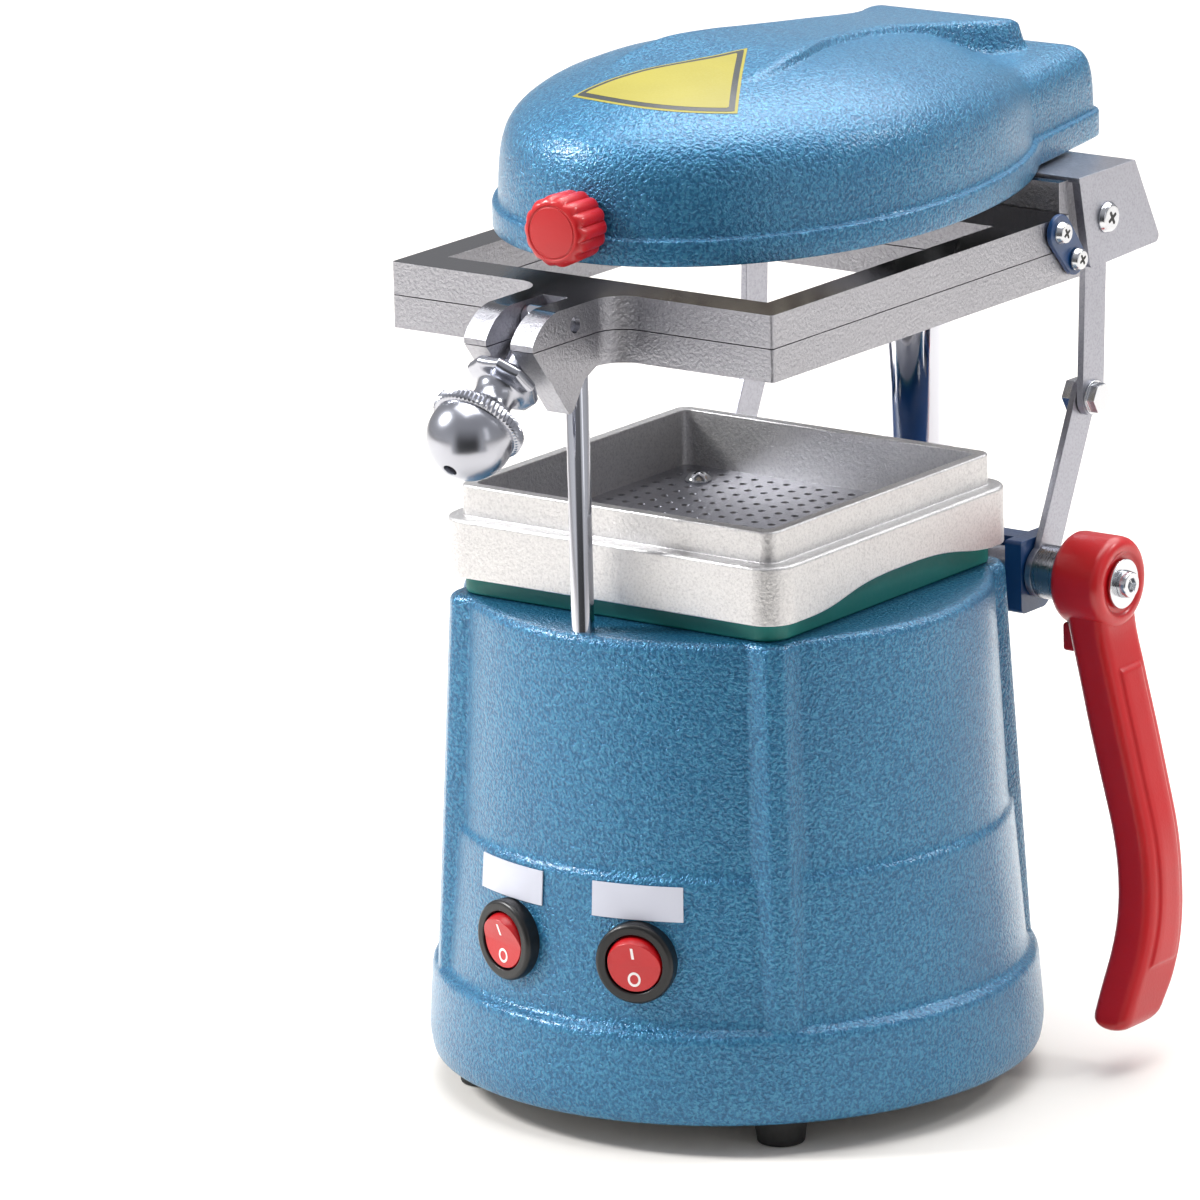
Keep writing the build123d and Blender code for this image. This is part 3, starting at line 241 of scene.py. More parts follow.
def hammered(name, deep, mid, light):
    s = Shader(name)
    warp = s.node("ShaderNodeTexNoise")
    warp.inputs["Scale"].default_value = 800.0
    warp.inputs["Detail"].default_value = 2.0
    s.link(s.coord.outputs["Object"], warp.inputs["Vector"])
    add = s.node("ShaderNodeMix", data_type="VECTOR")
    add.inputs["Factor"].default_value = 0.0016
    s.link(s.coord.outputs["Object"], add.inputs[4])
    s.link(warp.outputs["Color"], add.inputs[5])
    cells = s.node("ShaderNodeTexVoronoi", feature="SMOOTH_F1")
    cells.inputs["Scale"].default_value = 1080.0
    cells.inputs["Smoothness"].default_value = 0.35
    cells.inputs["Randomness"].default_value = 1.0
    s.link(add.outputs[1], cells.inputs["Vector"])
    fine = s.noise(1500.0, 3.0, 0.6)
    peel = s.noise(1020.0, 1.6, 0.45, add.outputs[1])
    large = s.noise(30.0, 2.0, 0.5)
    colour = s.ramp(peel, [(0.36, deep), (0.50, mid), (0.64, light)])
    dim = s.node("ShaderNodeMix", data_type="RGBA", blend_type="MULTIPLY")
    dim.inputs["Factor"].default_value = 1.0
    s.link(colour, dim.inputs[6])
    s.link(s.ramp(large, [(0.3, (0.92, 0.93, 0.95)), (0.7, (1.0, 1.0, 1.0))]), dim.inputs[7])
    s.link(dim.outputs[2], s.bsdf.inputs["Base Color"])
    s.link(s.span(fine, 0.3, 0.7, 0.28, 0.40), s.bsdf.inputs["Roughness"])
    s.set(Metallic=0.38, Specular_IOR_Level=0.5, Coat_Weight=0.45, Coat_Roughness=0.14)
    invert = s.span(cells.outputs["Distance"], 0.0, 1.0, 1.0, 0.0)
    n = s.bump(fine, 0.00004, 0.5)
    n = s.bump(invert, 0.00018, 0.6, n)
    n = s.bump(peel, 0.00092, 0.78, n)
    gloss = s.node("ShaderNodeBump")
    gloss.inputs["Distance"].default_value = 0.00045
    gloss.inputs["Strength"].default_value = 0.6
    s.link(peel, gloss.inputs["Height"])
    s.link(gloss.outputs["Normal"], s.bsdf.inputs["Coat Normal"])
    return s.mat


def cast(name, base, rough=(0.30, 0.46), grain=0.00022, top_shade=None, inside_shade=None, metallic=1.0):
    s = Shader(name)
    pits = s.noise(900.0, 4.0, 0.66)
    specks = s.noise(1150.0, 3.0, 0.7)
    cloud = s.noise(24.0, 2.0, 0.5)
    a = tuple(c * 0.93 for c in base[:3]) + (1.0,)
    colour = s.ramp(cloud, [(0.3, a), (0.7, base)])
    low = s.ramp(specks, [(0.36, (0.80, 0.80, 0.81)), (0.50, (0.95, 0.95, 0.95)), (0.64, (1.0, 1.0, 1.0))])
    speckled = s.node("ShaderNodeMix", data_type="RGBA", blend_type="MULTIPLY")
    speckled.inputs["Factor"].default_value = 1.0
    s.link(colour, speckled.inputs[6])
    s.link(low, speckled.inputs[7])
    colour = speckled.outputs[2]
    # painted shade: inside the tray (within half of the centre in X and Y, below the given height) the colour is mixed
    # to a near-black shade tone
    if inside_shade:
        half, below, shade_tone = inside_shade
        place = s.node("ShaderNodeSeparateXYZ")
        s.link(s.coord.outputs["Object"], place.inputs[0])
        parts = []
        for axis, centre, reach in (("X", CX * MM, half), ("Y", CY * MM, half)):
            shift = s.node("ShaderNodeMath", operation="SUBTRACT")
            shift.inputs[1].default_value = centre
            s.link(place.outputs[axis], shift.inputs[0])
            size = s.node("ShaderNodeMath", operation="ABSOLUTE")
            s.link(shift.outputs[0], size.inputs[0])
            less = s.node("ShaderNodeMath", operation="LESS_THAN")
            less.inputs[1].default_value = reach
            s.link(size.outputs[0], less.inputs[0])
            parts.append(less.outputs[0])
        under = s.node("ShaderNodeMath", operation="LESS_THAN")
        under.inputs[1].default_value = below
        s.link(place.outputs["Z"], under.inputs[0])
        parts.append(under.outputs[0])
        both = s.node("ShaderNodeMath", operation="MULTIPLY")
        s.link(parts[0], both.inputs[0])
        s.link(parts[1], both.inputs[1])
        every = s.node("ShaderNodeMath", operation="MULTIPLY")
        s.link(both.outputs[0], every.inputs[0])
        s.link(parts[2], every.inputs[1])
        colour = s.mix(every.outputs[0], colour, shade_tone)
    # painted shade: faces pointing up are mixed toward a darker colour, a painted dark reflection on the tops;
    # roughness and bump strength also drop there
    if top_shade:
        sep = s.node("ShaderNodeSeparateXYZ")
        s.link(s.coord.outputs["Normal"], sep.inputs[0])
        up = s.span(sep.outputs["Z"], 0.90, 0.98, 0.0, 1.0)
        colour = s.mix(up, colour, top_shade)
        s.link(s.span(up, 0.0, 1.0, sum(rough) / 2, 0.12), s.bsdf.inputs["Roughness"])
        strength = s.span(up, 0.0, 1.0, 0.55, 0.06)
        s.link(colour, s.bsdf.inputs["Base Color"])
        s.bump(pits, grain, 0.5)
        for nd in s.nt.nodes:
            if nd.bl_idname == "ShaderNodeBump":
                s.link(strength, nd.inputs["Strength"])
    else:
        s.link(colour, s.bsdf.inputs["Base Color"])
        s.link(s.span(pits, 0.3, 0.7, rough[0], rough[1]), s.bsdf.inputs["Roughness"])
        s.bump(pits, grain, 0.5)
    s.set(Metallic=metallic)
    return s.mat


def brushed(name, base, direction, rough=(0.22, 0.36), depth=0.00005):
    s = Shader(name)
    lines = s.noise(1.0, 3.0, 0.6, s.stretched(direction))
    a = tuple(c * 0.82 for c in base[:3]) + (1.0,)
    s.link(s.ramp(lines, [(0.3, a), (0.7, base)]), s.bsdf.inputs["Base Color"])
    s.link(s.span(lines, 0.3, 0.7, rough[0], rough[1]), s.bsdf.inputs["Roughness"])
    s.bump(lines, depth, 0.5)
    s.set(Metallic=1.0)
    return s.mat


def polished(name, base, rough=0.06):
    s = Shader(name)
    smear = s.noise(45.0, 3.0, 0.6)
    s.link(s.span(smear, 0.3, 0.7, rough, rough + 0.05), s.bsdf.inputs["Roughness"])
    s.set(Metallic=1.0, Base_Color=base)
    return s.mat


def plastic(name, base, rough=0.3, grain=0.00006, grain_scale=1500.0, coat=0.2):
    s = Shader(name)
    g = s.noise(grain_scale, 2.0, 0.6)
    cloud = s.noise(30.0, 2.0, 0.5)
    a = tuple(c * 0.86 for c in base[:3]) + (1.0,)
    s.link(s.ramp(cloud, [(0.3, a), (0.7, base)]), s.bsdf.inputs["Base Color"])
    s.link(s.span(g, 0.3, 0.7, rough - 0.04, rough + 0.06), s.bsdf.inputs["Roughness"])
    s.bump(g, grain, 0.5)
    s.set(Coat_Weight=coat, Coat_Roughness=0.2)
    return s.mat


MATS = {
    "blue_hammer": hammered("blue_hammer", lin(22, 90, 130), lin(37, 110, 150), lin(58, 132, 168)),
    "blue_enamel": plastic("blue_enamel", lin(18, 62, 112), 0.32, 0.00012, 900.0, 0.3),
    "cast_aluminium": cast("cast_aluminium", lin(206, 205, 206), (0.26, 0.40), 0.0003),
    # platform aluminium with painted shade inside the tray
    "platform_aluminium": cast("platform_aluminium", lin(218, 217, 217), (0.32, 0.48), 0.00045, inside_shade=(0.0512, 0.1700, lin(30, 30, 33)), metallic=0.84),
    # frame aluminium with painted shade on the up-facing faces
    "aluminium_shaded_top": cast("aluminium_shaded_top", lin(174, 174, 180), (0.24, 0.38), 0.00060, lin(116, 117, 122)),
    "machined_aluminium": brushed("machined_aluminium", lin(150, 152, 158), (900.0, 60.0, 60.0)),
    "sheet_steel": cast("sheet_steel", lin(170, 171, 180), (0.28, 0.40), 0.00016),
    "bright_steel": polished("bright_steel", lin(206, 208, 216), 0.07),
    "satin_chrome": polished("satin_chrome", lin(172, 174, 182), 0.20),
    "fasteners": polished("fasteners", lin(202, 204, 208), 0.16),
    "red_plastic": plastic("red_plastic", lin(194, 11, 21), 0.34, 0.0001, 1100.0, 0.2),
    "black_plastic": plastic("black_plastic", lin(12, 12, 14), 0.36, coat=0.0),
    "white_label": plastic("white_label", lin(206, 209, 222), 0.40, coat=0.0),
    "teal_rubber": plastic("teal_rubber", lin(0, 116, 108), 0.50, 0.00005, 700.0, 0.0),
    "black_rubber": plastic("black_rubber", lin(22, 22, 22), 0.62, 0.00012, 800.0, 0.0),
    "bearing_bronze": brushed("bearing_bronze", lin(190, 150, 90), (60.0, 60.0, 900.0)),
    "motor_paint": plastic("motor_paint", lin(36, 37, 40), 0.45),
    "zinc_sheet": brushed("zinc_sheet", lin(176, 178, 180), (40.0, 700.0, 40.0), (0.32, 0.46)),
    "heater_ceramic": plastic("heater_ceramic", lin(214, 206, 190), 0.75, 0.0002, 900.0, 0.0),
    "heater_wire": brushed("heater_wire", lin(110, 98, 90), (300.0, 300.0, 300.0), (0.45, 0.6)),
    "terminal_plastic": plastic("terminal_plastic", lin(208, 204, 190), 0.5),
    "warning_yellow": plastic("warning_yellow", lin(152, 143, 54), 0.5, 0.00004, 1500.0, 0.0),
    "print_dark": plastic("print_dark", lin(46, 50, 52), 0.5),
    "glyph_white": plastic("glyph_white", lin(244, 236, 236), 0.45),
    # painted shade for the insides of recesses and holes
    "hole_shade": plastic("hole_shade", lin(10, 10, 11), 0.6),
}


def paint(ob, mat):
    ob.data.materials.clear()
    ob.data.materials.append(MATS[mat])


REPAINT = {"vacuum_platform": "platform_aluminium", "lower_frame": "aluminium_shaded_top", "upper_frame": "aluminium_shaded_top", "crossbeam": "aluminium_shaded_top"}
BEVEL = {
    "vacuum_platform": 0.5, "lower_frame": 0.7, "upper_frame": 0.7, "crossbeam": 0.8, "rear_cover": 0.35,
    "hinge_plates": 0.3, "right_arm": 0.3, "left_arm": 0.3, "right_link": 0.3, "left_link": 0.3, "rear_bracket": 0.8,
    "shaft_collar": 0.5, "cross_shaft": 0.4, "link_bolts": 0.25, "link_rivets": 0.5, "upper_hinge_screws": 0.35,
    "lower_hinge_screws": 0.35, "lever_washer": 0.2, "lever_screw": 0.3, "shaft_nut": 0.4, "bracket_screws": 0.3,
    "plate_screws": 0.12, "rod_bush": 0.25, "column_bush": 0.4, "label_plates": 0.12, "platform_gasket": 0.8,
    "cable_gland": 0.4, "fuse_holder": 0.4, "switch_bezels": 0.3, "rubber_feet": 0.6, "base_plate": 0.3,
    "heater_rocker": 0.3, "vacuum_rocker": 0.3, "swing_bolt": 0.3, "heat_reflector": 0.2, "hood_hub": 0.4,
    "base_screws": 0.2, "clamp_pin": 0.2, "terminal_block": 0.3,
}
slot_of = {s["node"]: s["material_slot"] for s in frame["record"]["subparts"]}
body_of = {}
for body_name, node_names in frame["record"]["behaviour"]["bodies"].items():
    for node_name in node_names:
        body_of[node_name] = body_name

for name, ob in frame["nodes"].items():
    paint(ob, REPAINT.get(name, slot_of[name]))
    me = ob.data
    if "custom_normal" in me.attributes:
        me.attributes.remove(me.attributes["custom_normal"])
    me.polygons.foreach_set("use_smooth", [True] * len(me.polygons))
    weld = ob.modifiers.new("weld", "WELD")
    weld.merge_threshold = 0.000002
    if name not in ("upper_frame", "lower_frame"):
        flat = ob.modifiers.new("flat", "DECIMATE")
        flat.decimate_type = "DISSOLVE"
        flat.angle_limit = math.radians(0.6)
    if name in BEVEL:
        bev = ob.modifiers.new("edge", "BEVEL")
        bev.width = BEVEL[name] * MM
        bev.segments = 2
        bev.limit_method = "ANGLE"
        bev.angle_limit = math.radians(32)
        bev.miter_outer = "MITER_ARC"
        bev.harden_normals = False
    wn = ob.modifiers.new("normals", "WEIGHTED_NORMAL")
    wn.keep_sharp = False
    wn.weight = 80


# ---------------------------------------------------------------------------
# round housing
# ---------------------------------------------------------------------------
def housing():
    n = 1080
    th = np.linspace(0, 2 * np.pi, n, endpoint=False)
    rows = [(9.4, 90.4), (9.4, 92.5), (9.7, 93.1), (10.4, 93.5), (12.0, 93.9), (14.5, 94.3), (16.5, 94.4), (19.0, 94.3),
            (24.0, 94.0), (30.0, 93.6), (34.6, 93.3), (36.0, 93.05), (36.9, 92.6), (37.5, 91.9), (37.9, 91.1), (38.3, 90.4),
            (38.9, 89.8), (39.8, 89.45), (41.5, 89.25)]
    rows += [(z, 89.25 + (86.02 - 89.25) * (z - 41.5) / 39.5) for z in np.linspace(45, 81.0, 9)]
    rows += [(82.0, 85.95), (82.8, 85.75), (83.4, 85.4), (83.9, 84.95), (84.4, 84.6), (85.2, 84.35), (86.6, 84.2)]
    rows += [(z, 84.2 + (80.9 - 84.2) * (z - 86.6) / 65.8) for z in np.linspace(92, 152.4, 12)]
    off = np.full(n, 1e3)
    for c in (45, 135, -45, -135):
        d = np.abs(np.arctan2(np.sin(th - math.radians(c)), np.cos(th - math.radians(c)))) * 86.0
        off = np.minimum(off, d)

    def with_rib(z, r):
        crest = 92.0 + (85.3 - 92.0) * (z - 38.8) / 115.9
        fall = np.sqrt(np.maximum(off - 2.0, 0.0) ** 2 + 1.6 ** 2) - 1.6
        return smax(np.full(n, r), crest - 0.95 * fall, 0.5) if z > 36.5 else np.full(n, r)
    rings = []
    for z, r in rows:
        rr = with_rib(z, r)
        rings.append(np.stack([CX + rr * np.cos(th), CY + rr * np.sin(th), np.full(n, z)], 1))
    z_top = 155.42
    edge = with_rib(152.4, 80.9)
    for a in (18, 36, 54, 72, 90):
        ca, sa = math.cos(math.radians(a)), math.sin(math.radians(a))
        rr = edge - 3 + 3 * ca
        rings.append(np.stack([CX + rr * np.cos(th), CY + rr * np.sin(th), np.full(n, 152.4 + (z_top - 152.4) * sa)], 1))
    for r, keep in ((76.5, 0.9), (68.0, 0.3), (50.0, 0.0), (17.0, 0.0)):
        rr = r + (edge - 80.9) * keep
        rings.append(np.stack([CX + rr * np.cos(th), CY + rr * np.sin(th), np.full(n, z_top)], 1))
    ob = rings_mesh("body_casting", np.array(rings) * MM)
    paint(ob, "blue_hammer")
    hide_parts("body_shell")
    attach(ob, "base")


housing()


# ---------------------------------------------------------------------------
# heater hood: one casting with dome, neck and spine
# ---------------------------------------------------------------------------
HX, HF, HR, HC = 70.5, 94.8, 118.0, -91.0
dome_curve = pchip([0, 1.8, 2.2, 3.2, 5.0, 7.6, 11.0, 15.5, 21.0, 28.0, 38.0, 50.0, 70.5],
                   [270, 278.2, 287.0, 295.0, 300.4, 304.2, 307.2, 310.0, 312.3, 314.8, 317.1, 318.6, 319.6])
neck_curve = pchip([0, 1.8, 2.1, 2.8, 4.2, 6.5, 10.0, 15.0, 22.0, 44.0],
                   [270, 278.2, 286.0, 291.0, 294.5, 296.8, 298.2, 299.0, 299.6, 300.5])
neck_width = pchip([-60, -22, 30, 46.5, 60], [55.5, 52.0, 45.2, 42.6, 41.0])
spine_top = pchip([-142, -134, -120, -100, -85, -70, -50, -30, -10, 8, 15, 19, 22, 25, 27.5, 30],
                  [314.5, 316.6, 319.2, 321.0, 320.5, 319.2, 317.2, 314.9, 312.2, 310.0, 309.2, 308.6, 307.2, 303.8, 299.0, 292.0])
spine_width = pchip([-142, -134, -122, -104, -75, -50, -30, -10, 2, 10, 16, 20, 23, 26, 30],
                    [20.0, 24.0, 26.5, 25.0, 19.0, 16.0, 15.5, 17.5, 20.5, 23.8, 25.4, 25.6, 24.4, 21.0, 14.0])
rear_fall = pchip([-105, -90, -76, -45, -16, -5, 10, 40], [0.0, 0.4, 1.4, 4.0, 7.2, 9.2, 11.5, 14.0])


def dome_inset(x, y):
    x, y = np.abs(x), y - HC
    b = np.where(y < 0, HF, HR)
    lo, hi = np.full(x.shape, -60.0), np.full(x.shape, HX - 0.05)
    for _ in range(44):
        t = (lo + hi) / 2
        inside = (x / (HX - t)) ** 2 + (y / (b - t)) ** 2 <= 1.0
        lo = np.where(inside, t, lo)
        hi = np.where(inside, hi, t)
    return (lo + hi) / 2


def neck_inset(x, y):
    r = 11.0
    qx = np.abs(x) - (neck_width(y) - r)
    qy = y - (46.5 - r)
    out = np.sqrt(np.maximum(qx, 0) ** 2 + np.maximum(qy, 0) ** 2) + np.minimum(np.maximum(qx, qy), 0) - r
    return -out


def hood_height(x, y):
    di, ni = dome_inset(x, y), neck_inset(x, y)
    zd = np.where(di > 0, dome_curve(np.clip(di, 0, 70)), 262.0)
    zd = zd - rear_fall(y) * np.clip((zd - 284.0) / 28.0, 0, 1)
    zn = np.where(ni > 0, neck_curve(np.clip(ni, 0, 44)), 262.0)
    zn = np.where(y < -45, 262.0, zn)
    w = spine_width(y)
    zs = spine_top(y) - 0.9 * np.clip((np.abs(x) - (w - 3.0)) / 3.0, 0, 1) ** 2 - 3.4 * np.maximum(np.abs(x) - w, 0.0)
    zs = np.where((y < -141) | (y > 29.9), 262.0, zs)
    return smax(smax(zd, zn, 3.0), zs, 0.9)


def to_row(x, y, z):
    c, s = math.cos(SWING), math.sin(SWING)
    return np.stack([CX + x * c - y * s, CY + COLUMN_Y + x * s + y * c, z], -1) * MM


def hood_outline(inset, phi):
    """distance from (0, -60) to the union outline drawn in by inset, along directions phi"""
    lo, hi = np.full(phi.shape, 10.0), np.full(phi.shape, 180.0)
    for _ in range(44):
        t = (lo + hi) / 2
        x, y = t * np.cos(phi), -60.0 + t * np.sin(phi)
        k = 1.0
        a, b = dome_inset(x, y), neck_inset(x, y)
        b = np.where(y < -45, -60.0, b)
        d = smax(a, b, k)
        inside = d > inset
        lo = np.where(inside, t, lo)
        hi = np.where(inside, hi, t)
    return (lo + hi) / 2


def hood():
    n = 720
    phi = np.linspace(0, 2 * np.pi, n, endpoint=False)
    edge = hood_outline(1.8, phi)
    flange = hood_outline(0.0, phi)
    inner = hood_outline(4.8, phi)
    ux, uy = np.cos(phi), np.sin(phi)

    def at(dist, z):
        return to_row(dist * ux, -60.0 + dist * uy, z if np.ndim(z) else np.full(n, z))
    rings = [at(inner, 272.0), at(inner, 270.6), at(inner + 0.6, 270.2), at(flange - 0.7, 270.2), at(flange - 0.15, 270.45),
             at(flange, 271.0), at(flange, 277.3), at(flange - 0.2, 277.9), at(flange - 0.7, 278.2), at(edge + 0.15, 278.25)]
    for ins in (0.0, 0.1, 0.2, 0.32, 0.46, 0.64, 0.86, 1.15, 1.5, 2.0, 2.6, 3.3, 4.1, 5.0, 6.0, 7.2, 8.6, 10.2, 12.0, 14.0, 16.4, 19.0):
        d = edge - ins
        x, y = d * ux, -60.0 + d * uy
        rings.append(to_row(x, y, np.maximum(hood_height(x, y), 278.3)))
    base = edge - 19.0
    for f in np.linspace(0.985, 0.0, 74)[:-1]:
        d = base * f
        x, y = d * ux, -60.0 + d * uy
        rings.append(to_row(x, y, hood_height(x, y)))
    ob = rings_mesh("hood_casting", rings, cap_last=True)
    # inner skin
    inside = [at(inner, 272.0)]
    for z, ins in ((280.0, 0.2), (288.0, 1.0), (292.0, 3.5), (294.0, 8.0)):
        inside.append(at(inner - ins, z))
    d0 = inner - 8.0
    for f in np.linspace(0.97, 0.0, 26)[:-1]:
        d = d0 * f
        x, y = d * ux, -60.0 + d * uy
        inside.append(to_row(x, y, np.clip(hood_height(x, y) - 3.2, 293.6, 314.8)))
    skin = rings_mesh("hood_inside", inside, cap_last=True)
    paint(ob, "blue_hammer")
    paint(skin, "zinc_sheet")
    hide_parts("hood_shell")
    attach(ob, "hood")
    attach(skin, "hood")


hood()


# ---------------------------------------------------------------------------
# blank triangular panel on the hood
# ---------------------------------------------------------------------------
PANEL = {"left": (-20.7, -156.8), "far": (8.4, -105.8), "near": (33.0, -149.3), "bow": (10.4, -171.0)}


def panel():
    centre = None
    for level_no, (shrink, lift, mat) in enumerate(((0.0, 0.10, "warning_yellow"), (0.9, 0.16, "print_dark"), (2.7, 0.22, "warning_yellow"))):
        left, far, near, bow = (np.array(PANEL[k], float) for k in ("left", "far", "near", "bow"))
        outline = []
        for t in np.linspace(0, 1, 40, endpoint=False):
            outline.append(left + (far - left) * t)
        for t in np.linspace(0, 1, 30, endpoint=False):
            outline.append(far + (near - far) * t)
        for t in np.linspace(0, 1, 50, endpoint=False):
            outline.append((1 - t) ** 2 * near + 2 * t * (1 - t) * bow + t ** 2 * left)
        outline = np.array(outline)
        centre = outline.mean(0)
        if shrink:
            m = len(outline)
            tang = np.roll(outline, -1, 0) - np.roll(outline, 1, 0)
            nrm = np.stack([-tang[:, 1], tang[:, 0]], 1)
            nrm /= np.linalg.norm(nrm, axis=1)[:, None]
            nrm *= np.sign(((centre - outline) * nrm).sum(1))[:, None]
            # half-plane clipping keeps the corners clean
            ang = np.arctan2(outline[:, 1] - centre[1], outline[:, 0] - centre[0])
            dirs = np.stack([np.cos(ang), np.sin(ang)], 1)
            reach = np.full(m, 1e9)
            for p, q in zip(outline, nrm):
                den = -(dirs @ q)
                num = ((centre - p) @ q) - shrink
                ok = den > 1e-6
                reach = np.where(ok, np.minimum(reach, num / np.where(ok, den, 1)), reach)
            outline = centre + dirs * reach[:, None]
        rings = []
        for f in np.linspace(1.0, 0.0, 24)[:-1]:
            p = centre + (outline - centre) * f
            rings.append(to_row(p[:, 0], p[:, 1], hood_height(p[:, 0], p[:, 1]) + lift))
        ob = rings_mesh("hood_panel_%d" % level_no, rings, cap_last=True)
        paint(ob, mat)
        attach(ob, "hood")


panel()


# ---------------------------------------------------------------------------
# fluted knob on the hood
# ---------------------------------------------------------------------------
def fluted_knob():
    n = 360
    phi = np.linspace(0, 2 * np.pi, n, endpoint=False)
    flute = np.abs(np.cos(7 * phi)) ** 0.7
    rings = []
    for y, r, depth in ((-184.6, 4.0, 0.0), (-184.6, 8.6, 0.3), (-184.9, 9.6, 0.7), (-185.6, 10.2, 1.0), (-187.0, 10.5, 1.2), (-195.6, 10.8, 1.25),
                        (-197.0, 10.75, 1.2), (-198.0, 10.5, 0.9), (-198.8, 10.0, 0.5), (-199.3, 9.4, 0.15), (-199.55, 8.9, 0.0), (-199.6, 8.3, 0.0),
                        (-199.35, 8.05, 0.0), (-199.35, 7.7, 0.0), (-199.6, 7.45, 0.0), (-199.85, 4.0, 0.0)):
        rr = r - depth * (1 - flute)
        rings.append(to_row(rr * np.cos(phi), np.full(n, y), 282.0 + rr * np.sin(phi)))
    ob = rings_mesh("hood_grip", rings, cap_first=True, cap_last=True)
    sharp(ob, 40)
    stem = rings_mesh("hood_grip_stem", [to_row(4.0 * np.cos(phi[::8]), np.full(45, y), 282.0 + 4.0 * np.sin(phi[::8])) for y in (-178.0, -187.0)], True, True)
    sharp(stem, 40)
    paint(ob, "red_plastic")
    paint(stem, "red_plastic")
    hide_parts("hood_knob")
    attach(ob, "hood")
    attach(stem, "hood")


fluted_knob()


# ---------------------------------------------------------------------------
# hand lever
# ---------------------------------------------------------------------------
def lever():
    grip = np.array([
        (149.0, 74.0, 89.0, 70.0, 90.0), (135.0, 76.0, 90.0, 69.6, 90.4), (119.0, 79.6, 93.6, 69.6, 90.4),
        (102.0, 83.6, 97.8, 69.5, 90.5), (85.0, 88.0, 102.0, 69.5, 90.2), (70.0, 92.0, 105.8, 69.0, 89.4),
        (57.0, 94.4, 108.0, 67.8, 88.0), (45.0, 95.4, 109.0, 65.6, 86.6), (35.0, 95.6, 109.3, 61.8, 84.4),
        (26.0, 95.6, 109.3, 56.8, 80.4), (17.5, 95.6, 109.0, 52.4, 74.4), (13.0, 95.6, 108.8, 50.6, 71.6)])[::-1]
    f = [pchip(grip[:, 0], grip[:, k]) for k in range(1, 5)]
    rings = []
    slices = [(13.0 + 4.6 * (1 - math.cos(a)), 4.6 * (1 - math.sin(a))) for a in np.radians([0, 15, 30, 45, 60, 75, 90])]
    slices += [(z, 0.0) for z in np.concatenate([np.linspace(18.4, 30, 9), np.linspace(31, 33, 5), np.linspace(36, 118, 42), np.linspace(119.5, 122.5, 7), np.linspace(125, 149, 12)])]
    for z, ins in slices:
        x0, x1, y0, y1 = (float(g(z)) for g in f)
        x0, x1, y0, y1 = x0 + ins, x1 - ins, y0 + ins, y1 - ins
        raised = 0.9 * float(np.clip(min(z - 31.0, 122.0 - z) / 1.2, 0, 1))
        hy, cy = (y1 - y0) / 2, (y0 + y1) / 2
        rc = min(3.6, hy - 0.2, (x1 - x0) / 2 - 0.2)
        pts = []

        def corner(ox, oy, a0):
            for a in np.linspace(a0, a0 + 90, 7):
                pts.append((ox + rc * math.cos(math.radians(a)), oy + rc * math.sin(math.radians(a))))
        corner(x1 - rc, y1 - rc, 0)
        for frac in (0.75, 0.5, 0.25):
            pts.append((x0 + rc + (x1 - x0 - 2 * rc) * frac, y1))
        corner(x0 + rc, y1 - rc, 90)
        for frac in (0.75, 0.5, 0.25):
            pts.append((x0, y0 + rc + (y1 - y0 - 2 * rc) * frac))
        corner(x0 + rc, y0 + rc, 180)
        for frac in (0.25, 0.5, 0.75):
            pts.append((x0 + rc + (x1 - x0 - 2 * rc) * frac, y0))
        corner(x1 - rc, y0 + rc, 270)
        edge = max(hy - 4.6, 0.5)
        for yy, lift in ((-edge, 0.0), (-edge + 0.25, 0.35), (-edge + 0.55, 0.85), (-edge + 1.0, 1.0), (-edge * 0.4, 1.0), (0, 1.0), (edge * 0.4, 1.0),
                         (edge - 1.0, 1.0), (edge - 0.55, 0.85), (edge - 0.25, 0.35), (edge, 0.0)):
            pts.append((x1 + raised * lift, cy + yy))
        rings.append([((CX + px) * MM, (CY + py) * MM, z * MM) for px, py in pts])
    ob = rings_mesh("lever_grip", rings, cap_first=True, cap_last=True)
    n = 128
    a = np.linspace(0, 2 * np.pi, n, endpoint=False)
    hub = []
    for x, r in ((73.0, 9.0), (73.0, 12.6), (73.4, 13.5), (74.4, 14.2), (75.6, 14.4), (87.6, 14.4), (88.8, 14.2), (89.8, 13.6), (90.5, 12.7), (90.8, 11.8),
                 (90.8, 10.4), (90.5, 9.9), (90.1, 9.6), (90.0, 9.0), (90.0, 5.0)):
        hub.append(np.stack([np.full(n, CX + x), CY + 80.0 + r * np.cos(a), 147.3 + r * np.sin(a)], 1) * MM)
    hub = rings_mesh("lever_hub", hub, cap_last=True)
    tab = box_object("lever_tab", (CX + 71.5, CY + 75.0, 124.5), (CX + 79.0, CY + 85.0, 133.5), 1.2)
    join_into(ob, [hub, tab])
    paint(ob, "red_plastic")
    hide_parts("lever_handle")
    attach(ob, "lever")


lever()


# ---------------------------------------------------------------------------
# knurled ball knob of the frame clamp
# ---------------------------------------------------------------------------
PIN = np.array([CX, CY - 91.5, 253.9])
TILT = math.radians(52.0)
AXIS = np.array([0.0, -math.sin(TILT), -math.cos(TILT)])
SIDE = np.array([1.0, 0.0, 0.0])
OVER = np.cross(AXIS, SIDE)


